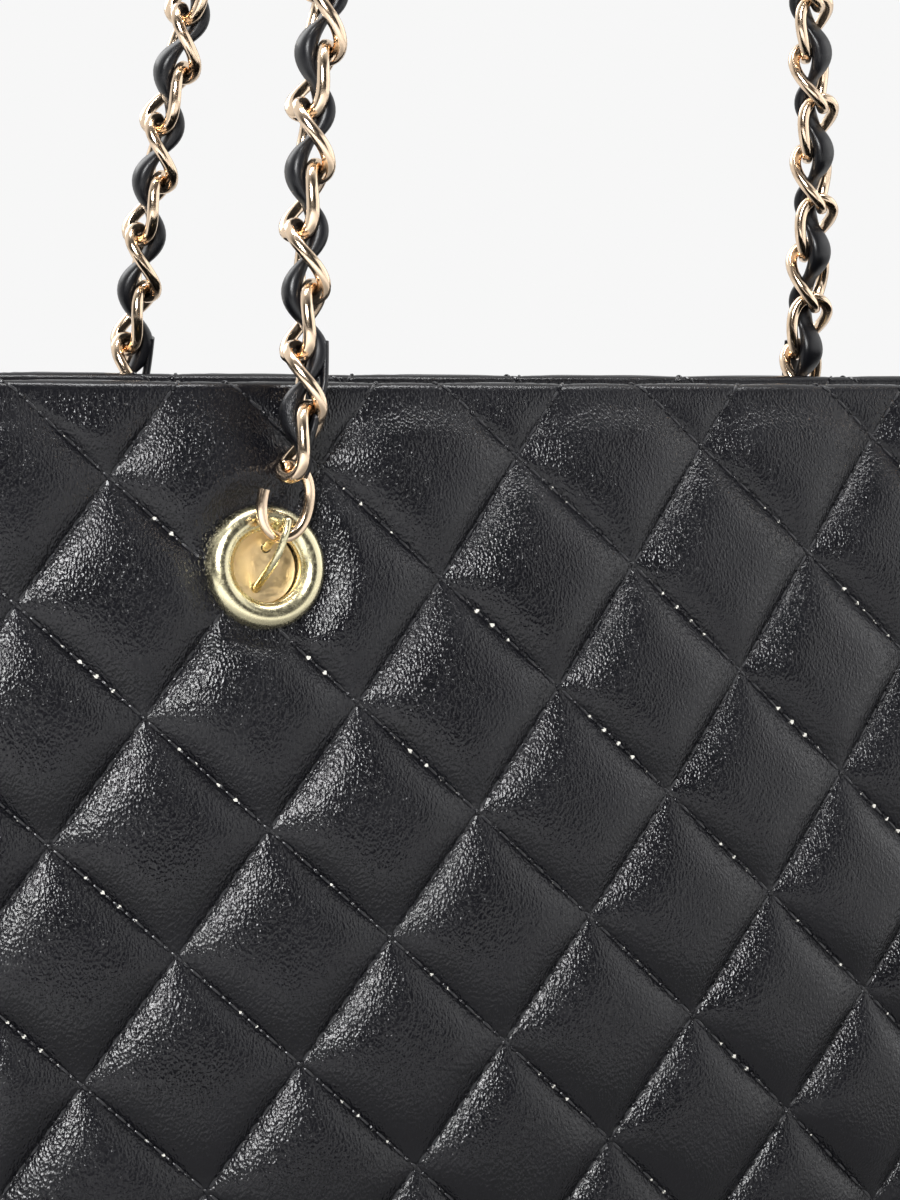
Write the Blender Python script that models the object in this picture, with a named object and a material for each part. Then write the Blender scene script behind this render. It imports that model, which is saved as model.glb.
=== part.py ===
"""Quilted tote bag with two chain straps that a leather lace is woven through.

Metres, +Z up. The bag stands on the XY plane with its width along X and its
front facing -Y. Its walls are swept around one body section that changes with
height, in layers that are counted inwards from the outer surface. Each eyelet
and snap half is modelled about its own +Z and placed on the wall by an empty.
Each strap is a row of oval links between junctions that zigzag about the
strap's path, with the lace weaving past the junctions on their other side.
"""

import math

import bmesh
import bpy
from mathutils import Matrix, Vector

MM = 0.001
GAP = 0.3 * MM

# Body
BAG_HEIGHT = 270 * MM
TOP_WIDTH = 384 * MM
BASE_WIDTH = 368 * MM
TOP_DEPTH = 84 * MM
BASE_DEPTH = 104 * MM
CORNER_RADIUS = 14 * MM
FACE_BULGE = 21 * MM
BULGE_PHASE_SHARES = (0.1, 0.97)
GUSSET_PINCH = 13 * MM
BASE_ROLL = 5 * MM
BASE_ROLL_HEIGHT = 18 * MM

# Layers of the wall, from outside to inside
SKIN = 1.0 * MM
WADDING = 2.4 * MM
FACING = 1.0 * MM
LINING = 0.8 * MM
FOLD_RADIUS = 1.8 * MM
FACING_HEIGHT = 66 * MM
BASE_PANEL = 3.0 * MM
BASE_BEVEL = 0.8 * MM
BASE_BOARD = 2.0 * MM
BOARD_MARGIN = 1.5 * MM

# Eyelets and the small rings that hold the straps
EYELET_SPACING = 224 * MM
EYELET_DROP = 42.5 * MM
EYELET_RADIUS = 14 * MM
EYELET_BORE = 8.6 * MM
BARREL_WALL = 0.9 * MM
DOME_HEIGHT = 2.8 * MM
DOME_DEGREES = (0, 35, 65, 90, 115, 145)
CURL = 1.0 * MM
WASHER_RADIUS = 13 * MM
WASHER = 0.8 * MM
PLATE = 0.8 * MM
PLATE_DEPTH = 2.6 * MM
RING_WIRE = 1.8 * MM
RING_HOLES = 9.6 * MM
RING_TURN = math.radians(17)
RING_HOLE_CLEARANCE = 0.35 * MM
HOOK_HEIGHT = 6.6 * MM
HOOK_OUT = 5.0 * MM
RING_TOP_SHARE = 1.75
RING_BEND_SHARE = 0.7
RING_RISE_SHARES = (0.56, 0.77)
RING_RETURN_SHARES = (0.435, 0.51)

# Magnetic snap
SNAP_DROP = 32 * MM
SNAP_RADIUS = 9 * MM
SNAP_HEIGHT = 2.6 * MM
SNAP_BEVEL_SHARE = 0.25
STUD_RADIUS = 3.0 * MM
STUD_HEIGHT = 1.8 * MM
SNAP_WASHER = 0.6 * MM
SNAP_WASHER_RADIUS = 8 * MM

# Straps
STRAP_DROP = 222 * MM
STRAP_EDGE_SPACING = 206 * MM
STRAP_OFF_WALL = 8.5 * MM
SHOULDER_SHARE = 0.4
FRONT_LEAN = math.radians(-6.5)
REAR_LEAN = math.radians(9.4)
LINK_COUNT = 43
LINK_WIRE = 3.0 * MM
LINK_HALF_WIDTH = 5.9 * MM
LINK_TWIST = math.radians(38)
LINK_FUSE = 0.65 * MM
LINK_SLACK = 0.9 * MM
LINK_SWAY = 2.2 * MM
LINK_ROUNDNESS = 2.1
WIRE_FULLNESS = 1.18
WEAVE_TURNS = ((0.0, math.radians(-27)), (0.93, math.radians(77)), (1.0, math.radians(24)))
LACE_SWAY = 2.8 * MM
LACE_WIDTH = 4.2 * MM
LACE_THICKNESS = 1.8 * MM
LACE_START = 1.4

# Counts
FACE_STATIONS = 10
GUSSET_STATIONS = 6
CORNER_STATIONS = 2
WALL_LEVELS = 5
ROUND_SEGMENTS = 16
LINK_SEGMENTS = 8
LINK_SIDES = 4
RING_SIDES = 6
PATH_SAMPLES = 400
SHARP_ANGLE = math.radians(35)

# Layer faces, counted inwards
WADDING_FROM = SKIN + GAP
WADDING_TO = WADDING_FROM + WADDING
FACING_FROM = WADDING_TO + GAP
FACING_TO = FACING_FROM + FACING
LINING_TO = FACING_FROM + LINING
WALL_FOOT = BASE_PANEL + GAP
BOARD_TOP = WALL_FOOT + BASE_BOARD
FACING_TOP = BAG_HEIGHT - SKIN - GAP
FACING_FOOT = BAG_HEIGHT - FACING_HEIGHT

SIDES = {"left": -1, "right": 1}
FACES = {"front": -1, "rear": 1}

LOOKS = {
    "leather": ((0.012, 0.012, 0.013), 0.42, 0.0),
    "wadding": ((0.62, 0.61, 0.58), 0.95, 0.0),
    "facing": ((0.014, 0.014, 0.015), 0.5, 0.0),
    "lining": ((0.02, 0.02, 0.022), 0.8, 0.0),
    "board": ((0.28, 0.25, 0.2), 0.9, 0.0),
    "pale_gold": ((0.74, 0.66, 0.42), 0.2, 1.0),
    "satin_gold": ((0.75, 0.55, 0.3), 0.42, 1.0),
    "rose_gold": ((0.83, 0.6, 0.4), 0.2, 1.0),
    "steel": ((0.5, 0.5, 0.5), 0.35, 1.0),
}


def clear_scene():
    for item in list(bpy.data.objects):
        bpy.data.objects.remove(item)


def material(name, look):
    colour, roughness, metallic = LOOKS[look]
    made = bpy.data.materials.new(name)
    made.use_nodes = True
    shader = made.node_tree.nodes["Principled BSDF"]
    shader.inputs["Base Color"].default_value = (*colour, 1.0)
    shader.inputs["Roughness"].default_value = roughness
    shader.inputs["Metallic"].default_value = metallic
    return made


def add_object(name, shape, look, parent=None):
    """Make an object from a bmesh, with its own material."""
    bmesh.ops.recalc_face_normals(shape, faces=shape.faces)
    mesh = bpy.data.meshes.new(name)
    shape.to_mesh(mesh)
    shape.free()
    mesh.shade_smooth()
    mesh.set_sharp_from_angle(angle=SHARP_ANGLE)
    made = bpy.data.objects.new(name, mesh)
    bpy.context.collection.objects.link(made)
    mesh.materials.append(material(name, look))
    made.parent = parent
    return made


def add_empty(name, matrix):
    frame = bpy.data.objects.new(name, None)
    frame.empty_display_size = EYELET_RADIUS
    frame.matrix_world = matrix
    bpy.context.collection.objects.link(frame)
    return frame


def hide_as_cutter(item):
    item.hide_render = True
    item.display_type = "WIRE"


def boolean(item, tool, operation):
    change = item.modifiers.new(operation.title(), "BOOLEAN")
    change.operation = operation
    change.solver = "EXACT"
    change.object = tool
    hide_as_cutter(tool)


def mix(start, end, share):
    return start + (end - start) * share


def roll_at(z):
    """How far the wall draws in over the rounded foot."""
    rise = max(0.0, 1 - z / BASE_ROLL_HEIGHT)
    return BASE_ROLL * rise * rise


def half_width(z):
    return mix(BASE_WIDTH, TOP_WIDTH, z / BAG_HEIGHT) / 2 - roll_at(z)


def half_depth(z):
    return mix(BASE_DEPTH, TOP_DEPTH, z / BAG_HEIGHT) / 2 - roll_at(z)


def bulge_at(z):
    return FACE_BULGE * math.sin(math.pi * mix(*BULGE_PHASE_SHARES, z / BAG_HEIGHT))


def pinch_at(z):
    return GUSSET_PINCH * (z / BAG_HEIGHT) ** 2


def corner_stations():
    """Turns of a corner, in shares of an eighth of a circle, up to the seam."""
    return [(step + 1) / CORNER_STATIONS for step in range(CORNER_STATIONS)]


def seam_turn(reach):
    """How far a corner turns to its seam, less half the seam's gap at reach 1."""
    return math.pi / 4 - reach * GAP / CORNER_RADIUS / 2


def face_outline(z, depth, reach=1.0):
    """Points of the front face from its left seam to its right seam."""
    radius = CORNER_RADIUS - depth
    flat_x = half_width(z) - CORNER_RADIUS
    flat_y = half_depth(z) - CORNER_RADIUS
    points = []
    for step in range(FACE_STATIONS + 1):
        share = 2 * step / FACE_STATIONS - 1
        y = flat_y + radius + bulge_at(z) * (1 - share * share)
        points.append((flat_x * share, -y))
    for share in corner_stations():
        turn = seam_turn(reach) * share
        x = flat_x + radius * math.sin(turn)
        y = -(flat_y + radius * math.cos(turn))
        points.append((x, y))
        points.insert(0, (-x, y))
    return points


def gusset_outline(z, depth, reach=1.0):
    """Points of the right gusset from its front seam to its rear seam."""
    radius = CORNER_RADIUS - depth
    flat_x = half_width(z) - CORNER_RADIUS
    flat_y = half_depth(z) - CORNER_RADIUS
    points = []
    for step in range(GUSSET_STATIONS + 1):
        share = 2 * step / GUSSET_STATIONS - 1
        drawn = pinch_at(z) * math.cos(math.pi / 2 * share) ** 2
        points.append((flat_x + radius - drawn, flat_y * share))
    for share in corner_stations():
        turn = seam_turn(reach) * share
        x = flat_x + radius * math.cos(turn)
        y = flat_y + radius * math.sin(turn)
        points.append((x, y))
        points.insert(0, (x, -y))
    return points


def turned(points, side):
    """The same outline on the opposite side of the bag."""
    return [(side * x, side * y) for x, y in points]


def loop_outline(z, depth):
    """The whole body section, anticlockwise from the front left seam."""
    front = face_outline(z, depth, reach=0.0)
    right = gusset_outline(z, depth, reach=0.0)
    points = front + right[1:]
    points += turned(front, -1)[1:]
    points += turned(right, -1)[1:-1]
    return points


def wall_levels(foot, top):
    """Heights from foot to top, with the same ones between them in every layer."""
    shared = [BASE_ROLL_HEIGHT / 2]
    for number in range(WALL_LEVELS + 1):
        shared.append(mix(BASE_ROLL_HEIGHT, FACING_FOOT, number / WALL_LEVELS))
    shared.append(mix(FACING_FOOT, BAG_HEIGHT, 0.5))
    return [foot] + [z for z in shared if foot < z < top] + [top]


def add_loft_faces(shape, rows, closed):
    """Faces between rows of points, split alike in layers that lie close."""
    grid = [[shape.verts.new(point) for point in row] for row in rows]
    count = len(grid[0])
    pairs = list(zip(grid, grid[1:]))
    if closed:
        pairs.append((grid[-1], grid[0]))
    for near, far in pairs:
        for index in range(count):
            after = (index + 1) % count
            corners = (near[index], near[after], far[after], far[index])
            if corners[0].co.z > corners[2].co.z:
                corners = corners[1:] + corners[:1]
            shape.faces.new(corners[:3])
            shape.faces.new((corners[0], corners[2], corners[3]))
    return grid


def add_loft(name, rows, look, closed, parent=None):
    """Join rows of points into one solid.

    Each row is the same closed profile at the next station. A closed loft
    joins its last row to its first one, and an open one is capped.
    """
    shape = bmesh.new()
    grid = add_loft_faces(shape, rows, closed)
    if not closed:
        shape.faces.new(grid[0])
        shape.faces.new(grid[-1])
    return add_object(name, shape, look, parent)


def sweep_wall(name, outline, profile, look, closed=False):
    """Sweep a profile of (depth, height) points along the body's outline."""
    columns = [outline(z, depth) for depth, z in profile]
    heights = [z for _, z in profile]
    rows = []
    for station in range(len(columns[0])):
        row = [(*column[station], z) for column, z in zip(columns, heights)]
        rows.append(row)
    return add_loft(name, rows, look, closed)


def skin_profile():
    """A skin that folds over the top edge as far as the facing's inner side."""
    levels = wall_levels(WALL_FOOT, BAG_HEIGHT - FOLD_RADIUS)
    slant = FOLD_RADIUS * (1 - math.cos(math.pi / 4))
    outer = [(0.0, z) for z in levels]
    outer.append((slant, BAG_HEIGHT - slant))
    outer.append((FOLD_RADIUS, BAG_HEIGHT))
    outer.append((FACING_TO - SKIN, BAG_HEIGHT))
    outer.append((FACING_TO, BAG_HEIGHT - SKIN / 2))
    outer.append((FACING_TO, BAG_HEIGHT - SKIN))
    inner = [(SKIN, z) for z in levels[:-1]]
    inner.append((SKIN, BAG_HEIGHT - FOLD_RADIUS))
    inner.append((FOLD_RADIUS, BAG_HEIGHT - SKIN))
    return outer + inner[::-1]


def slab_profile(depth_from, depth_to, foot, top):
    levels = wall_levels(foot, top)
    outer = [(depth_from, z) for z in levels]
    inner = [(depth_to, z) for z in levels]
    return outer + inner[::-1]


def outline_of(name):
    """The outline function of one wall, by its name."""
    outlines = {
        "front": lambda z, depth: face_outline(z, depth),
        "back": lambda z, depth: turned(face_outline(z, depth), -1),
        "right": lambda z, depth: gusset_outline(z, depth),
        "left": lambda z, depth: turned(gusset_outline(z, depth), -1),
    }
    return outlines[name]


def build_walls():
    walls = {}
    wadding_top = BAG_HEIGHT - FOLD_RADIUS - GAP
    wadding_profile = slab_profile(WADDING_FROM, WADDING_TO, WALL_FOOT, wadding_top)
    for wall, noun in (("front", "panel"), ("back", "panel"), ("left", "gusset"), ("right", "gusset")):
        walls[wall] = sweep_wall(f"{wall}_{noun}", outline_of(wall), skin_profile(), "leather")
        name = f"{wall}_wadding"
        walls[name] = sweep_wall(name, outline_of(wall), wadding_profile, "wadding")
    facing_profile = slab_profile(FACING_FROM, FACING_TO, FACING_FOOT, FACING_TOP)
    walls["facing"] = sweep_wall("top_facing", loop_outline, facing_profile, "facing", closed=True)
    return walls


def build_base():
    def loop(z, depth, level):
        return [(x, y, level) for x, y in loop_outline(z, depth)]

    panel = [
        loop(0.0, BASE_BEVEL, 0.0),
        loop(BASE_BEVEL, 0.0, BASE_BEVEL),
        loop(BASE_PANEL, 0.0, BASE_PANEL),
    ]
    add_loft("base_panel", panel, "leather", closed=False)

    board_depth = LINING_TO + BOARD_MARGIN
    board = [loop(WALL_FOOT, board_depth, WALL_FOOT), loop(BOARD_TOP, board_depth, BOARD_TOP)]
    add_loft("base_board", board, "board", closed=False)

    floor = BOARD_TOP + GAP
    levels = wall_levels(floor, FACING_FOOT - GAP)
    lining = [loop(z, FACING_FROM, z) for z in levels]
    inside = [max(z, floor + LINING) for z in levels]
    lining += [loop(z, LINING_TO, z) for z in inside[::-1]]
    add_loft("lining", lining, "lining", closed=False)


def face_y(x, z):
    """Distance of the front or rear outer surface from the XZ plane."""
    share = x / (half_width(z) - CORNER_RADIUS)
    return half_depth(z) + bulge_at(z) * (1 - share * share)


def wall_frame(x, z, face, depth=0.0, inwards=False):
    """A frame on a face: +Z along its normal, +Y up the wall."""
    step = GAP
    origin = Vector((x, face * (face_y(x, z) - depth), z))
    along = Vector((2 * step, face * (face_y(x + step, z) - face_y(x - step, z)), 0))
    rise = Vector((0, face * (face_y(x, z + step) - face_y(x, z - step)), 2 * step))
    out = along.cross(rise).normalized()
    if out.y * face < 0:
        out.negate()
    if inwards:
        out.negate()
    up = (rise - out * rise.dot(out)).normalized()
    across = up.cross(out)
    return Matrix.Translation(origin) @ Matrix((across, up, out)).transposed().to_4x4()


def add_turned(name, profile, look, parent=None):
    """Turn a closed profile of (radius, height) points about +Z."""
    rows = []
    for step in range(ROUND_SEGMENTS):
        turn = 2 * math.pi * step / ROUND_SEGMENTS
        rows.append([(r * math.cos(turn), r * math.sin(turn), z) for r, z in profile])
    return add_loft(name, rows, look, closed=True, parent=parent)


def add_disc(name, radius, foot, top, look, parent=None, bevel=0.0):
    """A disc about +Z from foot to top, with its upper edge bevelled."""
    rings = [(radius, foot), (radius, top - bevel)]
    if bevel:
        rings.append((radius - bevel, top))
    rows = []
    for ring_radius, z in rings:
        row = []
        for step in range(ROUND_SEGMENTS):
            turn = 2 * math.pi * step / ROUND_SEGMENTS
            row.append((ring_radius * math.cos(turn), ring_radius * math.sin(turn), z))
        rows.append(row)
    return add_loft(name, rows, look, closed=False, parent=parent)


def add_tube(name, points, radius, look, parent=None):
    """A closed round wire along points that lie in one plane."""
    centres = [Vector(point) for point in points]
    normals = [plane_normal(centres)] * len(centres)
    rows = wire_rows(centres, normals, radius, RING_SIDES)
    return add_loft(name, rows, look, closed=True, parent=parent)


def wire_rows(points, normals, radius, sides):
    """Rings of points around a closed wire's centre line."""
    rows = []
    count = len(points)
    for index, point in enumerate(points):
        tangent = (points[(index + 1) % count] - points[index - 1]).normalized()
        across = tangent.cross(normals[index]).normalized()
        normal = across.cross(tangent)
        row = []
        for side in range(sides):
            turn = 2 * math.pi * (side + 0.5) / sides
            row.append(point + radius * (math.cos(turn) * across + math.sin(turn) * normal))
        rows.append(row)
    return rows


def plane_normal(points):
    """The normal of the plane that a loop of points lies in."""
    total = Vector()
    for near, far in zip(points, points[1:] + points[:1]):
        total += near.cross(far)
    return total.normalized()


def eyelet_profile():
    """The domed rim, the barrel through the wall and the curl behind it."""
    bore = EYELET_BORE
    barrel = EYELET_BORE + BARREL_WALL
    middle = (EYELET_RADIUS + bore) / 2
    half = (EYELET_RADIUS - bore) / 2
    dome = []
    for degrees in DOME_DEGREES:
        turn = math.radians(degrees)
        height = GAP + (DOME_HEIGHT - GAP) * math.sin(turn)
        dome.append((middle + half * math.cos(turn), height))
    curl_top = -(FACING_TO + 4 * GAP + WASHER)
    behind = [
        (bore, dome[-1][1] - half / 2),
        (bore, curl_top - CURL / 2),
        (bore + CURL / 2, curl_top - CURL),
        (barrel + CURL, curl_top - CURL),
        (barrel + CURL, curl_top),
        (barrel, curl_top),
        (barrel, GAP),
    ]
    return dome + behind


def ring_points():
    """The wire ring's centre line, as (up, out) from the eyelet's centre.

    It passes behind the plate, comes out through the lower hole, rises in
    front of the strap's first link and goes back in over it.
    """
    wire = RING_WIRE
    hole = RING_HOLES / 2
    back = -(PLATE_DEPTH + PLATE + GAP + wire / 2)
    in_front = HOOK_OUT + (WIRE_FULLNESS * LINK_WIRE + wire) / 2 + 2 * GAP
    over = HOOK_HEIGHT + RING_TOP_SHARE * LINK_WIRE
    bend = mix(HOOK_HEIGHT, over, RING_BEND_SHARE)
    up_rise, out_rise = RING_RISE_SHARES
    up_return, out_return = RING_RETURN_SHARES
    return [
        (-hole, back),
        (-hole, -PLATE_DEPTH),
        (-hole + wire / 2, -wire / 2),
        (mix(-hole, HOOK_HEIGHT, up_rise), mix(-wire / 2, in_front, out_rise)),
        (HOOK_HEIGHT, in_front),
        (bend, in_front),
        (over, in_front - wire / 2),
        (bend, HOOK_OUT - wire / 4),
        (mix(hole, over, up_return), mix(-wire / 2, HOOK_OUT, out_return)),
        (hole, -PLATE_DEPTH),
        (hole, back),
    ]


def build_eyelet(name, face, side):
    frame = add_empty(f"{name}_frame", eyelet_matrix(face, side))
    add_turned(f"{name}_eyelet", eyelet_profile(), "pale_gold", frame)

    barrel = EYELET_BORE + BARREL_WALL
    washer_foot = -(FACING_TO + 3 * GAP + WASHER)
    washer_profile = [
        (WASHER_RADIUS, washer_foot),
        (WASHER_RADIUS, washer_foot + WASHER),
        (barrel + GAP, washer_foot + WASHER),
        (barrel + GAP, washer_foot),
    ]
    add_turned(f"{name}_washer", washer_profile, "pale_gold", frame)

    turn = add_empty(f"{name}_ring_frame", Matrix())
    turn.parent = frame
    turn.matrix_basis = ring_turn(face, side)

    plate_radius = EYELET_BORE - GAP
    plate = add_disc(f"{name}_plate", plate_radius, -PLATE_DEPTH - PLATE, -PLATE_DEPTH, "satin_gold", turn)
    for place, label in ((-1, "lower"), (1, "upper")):
        hole_radius = RING_WIRE / 2 + RING_HOLE_CLEARANCE
        centre = Vector((0, place * RING_HOLES / 2, 0))
        tool = add_disc(f"{name}_{label}_hole", hole_radius, -PLATE_DEPTH - 2 * PLATE, 0.0, "steel", turn)
        tool.data.transform(Matrix.Translation(centre))
        boolean(plate, tool, "DIFFERENCE")

    points = [(0.0, up, out) for up, out in ring_points()]
    add_tube(f"{name}_ring", points, RING_WIRE / 2, "pale_gold", turn)


def eyelet_matrix(face, side):
    return wall_frame(side * EYELET_SPACING / 2, BAG_HEIGHT - EYELET_DROP, face)


def ring_turn(face, side):
    """Each ring leans towards the middle of the bag."""
    return Matrix.Rotation(-face * side * RING_TURN, 4, "Z")


def cut_eyelet_holes(walls):
    """Holes through the skin, the wadding and the facing for each barrel."""
    radius = EYELET_BORE + BARREL_WALL + GAP
    layers = {
        -1: (walls["front"], walls["front_wadding"], walls["facing"]),
        1: (walls["back"], walls["back_wadding"], walls["facing"]),
    }
    for face_name, face in FACES.items():
        for side_name, side in SIDES.items():
            name = f"{face_name}_{side_name}_barrel_hole"
            tool = add_disc(name, radius, -2 * FACING_TO, FACING_TO, "steel")
            tool.matrix_world = eyelet_matrix(face, side)
            for wall in layers[face]:
                boolean(wall, tool, "DIFFERENCE")


def build_snap(walls):
    """A magnetic snap: a socket on the front facing, a stud on the rear one."""
    for half, face in (("socket", -1), ("stud", 1)):
        z = BAG_HEIGHT - SNAP_DROP
        frame = add_empty(f"snap_{half}_frame", wall_frame(0.0, z, face, FACING_TO, inwards=True))
        top = GAP + SNAP_HEIGHT
        bevel = SNAP_BEVEL_SHARE * SNAP_HEIGHT
        body = add_disc(f"snap_{half}", SNAP_RADIUS, GAP, top, "pale_gold", frame, bevel)
        if half == "stud":
            tip = add_disc("snap_stud_tip", STUD_RADIUS, top - STUD_HEIGHT, top + STUD_HEIGHT, "steel", frame)
            boolean(body, tip, "UNION")
        else:
            bore_radius = STUD_RADIUS + GAP
            bore_foot = top - STUD_HEIGHT - GAP
            tool = add_disc("snap_socket_bore", bore_radius, bore_foot, top + STUD_HEIGHT, "steel", frame)
            boolean(body, tool, "DIFFERENCE")

        washer_top = -(FACING + GAP)
        washer_foot = washer_top - SNAP_WASHER
        add_disc(f"snap_{half}_washer", SNAP_WASHER_RADIUS, washer_foot, washer_top, "steel", frame)
        pocket_radius = SNAP_WASHER_RADIUS + GAP
        pocket = add_disc(f"snap_{half}_pocket", pocket_radius, washer_foot - GAP, 0.0, "steel", frame)
        wall = "front_wadding" if face < 0 else "back_wadding"
        boolean(walls[wall], pocket, "DIFFERENCE")


def hook_point(face, side):
    """The centre of the first link's lower end, inside the wire ring."""
    return eyelet_matrix(face, side) @ ring_turn(face, side) @ Vector((0, HOOK_HEIGHT, HOOK_OUT))


def strap_path(face):
    """Samples of the strap's path from its left hook to its right hook.

    Each run rises past the bag's edge, and above it the strap is half an
    ellipse whose plane leans with the strap.
    """
    lean = REAR_LEAN if face > 0 else FRONT_LEAN
    half = STRAP_EDGE_SPACING / 2
    edge = Vector((half, face * (face_y(half, BAG_HEIGHT) + STRAP_OFF_WALL), BAG_HEIGHT))
    hook = hook_point(face, 1)
    shoulder_z = mix(hook.z, edge.z, SHOULDER_SHARE)
    shoulder_y = face * (face_y(half, shoulder_z) + STRAP_OFF_WALL)
    shoulder = Vector((mix(hook.x, half, SHOULDER_SHARE), shoulder_y, shoulder_z))
    run = [hook, shoulder, edge]
    arch = []
    for step in range(1, PATH_SAMPLES):
        turn = math.pi * step / PATH_SAMPLES
        rise = STRAP_DROP * math.sin(turn)
        forward = -rise * math.tan(lean)
        arch.append(Vector((-half * math.cos(turn), edge.y + forward, BAG_HEIGHT + rise)))
    left = [Vector((-point.x, point.y, point.z)) for point in run]
    return left + arch + run[::-1]


def link_outline():
    """A link's centre line in shares of its half length and half width.

    Its ends and its sides are each one straight stretch.
    """
    outline = []
    for step in range(LINK_SEGMENTS):
        turn = 2 * math.pi * (step + 0.5) / LINK_SEGMENTS
        along = math.copysign(abs(math.cos(turn)) ** (2 / LINK_ROUNDNESS), math.cos(turn))
        across = math.copysign(abs(math.sin(turn)) ** (2 / LINK_ROUNDNESS), math.sin(turn))
        outline.append((along, across))
    furthest = max(along for along, _ in outline)
    return [(along / furthest, across / furthest) for along, across in outline]


class Route:
    """A path that can be read by its length."""

    def __init__(self, points):
        self.points = points
        self.lengths = [0.0]
        for near, far in zip(points, points[1:]):
            self.lengths.append(self.lengths[-1] + (far - near).length)
        self.length = self.lengths[-1]

    def at(self, distance):
        distance = min(max(distance, 0.0), self.length)
        index = 1
        while self.lengths[index] < distance and index < len(self.lengths) - 1:
            index += 1
        start, end = self.lengths[index - 1], self.lengths[index]
        share = (distance - start) / (end - start)
        return self.points[index - 1].lerp(self.points[index], share)

    def tangent(self, distance):
        step = LINK_WIRE
        return (self.at(distance + step) - self.at(distance - step)).normalized()


class Strap:
    """The junctions, links and lace of one strap."""

    def __init__(self, face):
        self.face = face
        self.route = Route(strap_path(face))
        self.first = LINK_WIRE / 2
        self.pitch = (self.route.length - 2 * self.first) / LINK_COUNT

    def weave(self, distance):
        """The direction in which the junctions and the lace sway."""
        tangent = self.route.tangent(distance)
        outwards = Vector((0, -1, 0)).cross(tangent).normalized()
        front = tangent.cross(outwards)
        turn = self.weave_turn(distance / self.route.length)
        return math.cos(turn) * outwards + math.sin(turn) * front

    def weave_turn(self, share):
        """The turn at a share of the strap's length, between the given turns."""
        for (start, turn), (end, next_turn) in zip(WEAVE_TURNS, WEAVE_TURNS[1:]):
            if share <= end:
                break
        return mix(turn, next_turn, min(1.0, max(0.0, (share - start) / (end - start))))

    def sway(self, distance):
        """A wave of one half turn for each link, that dies out at the hooks."""
        steps = (distance - self.first) / self.pitch
        fade = min(1.0, max(0.0, min(steps, LINK_COUNT - steps) - 0.5))
        return -fade * math.cos(math.pi * steps)

    def junction(self, number):
        distance = self.first + number * self.pitch
        return self.route.at(distance) + LINK_SWAY * self.sway(distance) * self.weave(distance)

    def link_points(self, number, reach_before, reach_after):
        """The centre line of a link between its two junctions, and its plane."""
        near, far = self.junction(number), self.junction(number + 1)
        axis = (far - near).normalized()
        near = near - reach_before * axis
        far = far + reach_after * axis
        half = (far - near).length / 2
        middle = (near + far) / 2
        at_end = number in (0, LINK_COUNT - 1)
        distance = self.first + (number + 0.5) * self.pitch
        side = Vector((1, 0, 0)) if at_end else axis.cross(self.weave(distance))
        side = (side - axis * side.dot(axis)).normalized()
        twist = 0.0 if at_end else LINK_TWIST
        points, normals = [], []
        for along, across in link_outline():
            spin = Matrix.Rotation(-twist * along, 3, axis)
            points.append(middle + axis * half * along + spin @ side * LINK_HALF_WIDTH * across)
            normals.append(spin @ axis.cross(side))
        return points, normals

    def add_chain(self, name):
        """Every link but the two end ones, joined where they touch."""
        numbers = range(1, LINK_COUNT - 1)
        halves = []
        for label, start in (("", 0), ("_others", 1)):
            shape = bmesh.new()
            for number in numbers[start::2]:
                self.add_link_faces(shape, number)
            halves.append(add_object(f"{name}{label}", shape, "rose_gold"))
        boolean(*halves, "UNION")

    def add_link_faces(self, shape, number):
        fused = (LINK_WIRE - LINK_FUSE) / 2
        free = (LINK_WIRE + LINK_SLACK) / 2
        before = free if number == 1 else fused
        after = free if number == LINK_COUNT - 2 else fused
        points, normals = self.link_points(number, before, after)
        add_loft_faces(shape, self.link_rows(points, normals), closed=True)

    def link_rows(self, points, normals):
        return wire_rows(points, normals, WIRE_FULLNESS * LINK_WIRE / 2, LINK_SIDES)

    def add_end_link(self, name, number):
        """The link that hooks into the eyelet's ring."""
        at_start = number == 0
        to_hook = LINK_WIRE / 2
        free = (LINK_WIRE + LINK_SLACK) / 2
        before = to_hook if at_start else free
        after = free if at_start else to_hook
        points, normals = self.link_points(number, before, after)
        add_loft(name, self.link_rows(points, normals), "rose_gold", closed=True)

    def add_lace(self, name):
        """A flat lace through every link but the two end ones."""
        rows = []
        steps = 2 * (LINK_COUNT - 2)
        start = self.first + self.pitch * LACE_START
        end = self.first + self.pitch * (LINK_COUNT - LACE_START)
        centres, weaves = [], []
        for step in range(steps + 1):
            distance = mix(start, end, step / steps)
            weave = self.weave(distance)
            centres.append(self.route.at(distance) - LACE_SWAY * self.sway(distance) * weave)
            weaves.append(weave)
        for index, centre in enumerate(centres):
            before = centres[max(index - 1, 0)]
            after = centres[min(index + 1, steps)]
            tangent = (after - before).normalized()
            wide = tangent.cross(weaves[index]).normalized() * LACE_WIDTH / 2
            thick = wide.cross(tangent).normalized() * LACE_THICKNESS / 2
            rows.append([centre + wide + thick, centre - wide + thick, centre - wide - thick, centre + wide - thick])
        add_loft(name, rows, "leather", closed=False)


def build_strap(face_name, face):
    strap = Strap(face)
    strap.add_end_link(f"{face_name}_left_end_link", 0)
    strap.add_end_link(f"{face_name}_right_end_link", LINK_COUNT - 1)
    strap.add_chain(f"{face_name}_chain")
    strap.add_lace(f"{face_name}_lace")


def main():
    clear_scene()
    walls = build_walls()
    build_base()
    cut_eyelet_holes(walls)
    for face_name, face in FACES.items():
        for side_name, side in SIDES.items():
            build_eyelet(f"{face_name}_{side_name}", face, side)
    build_snap(walls)
    for face_name, face in FACES.items():
        build_strap(face_name, face)


if __name__ == "__main__":
    main()
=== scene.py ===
"""Looks of a quilted tote bag with two laced chain straps.

Metres, +Z up. The bag stands on the XY plane with its front facing -Y. The walls
are cut flat from a sheet that is ruled along the quilting, and are then wrapped
round the body. The chains and laces follow the same path as the packed model's.
"""

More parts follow.
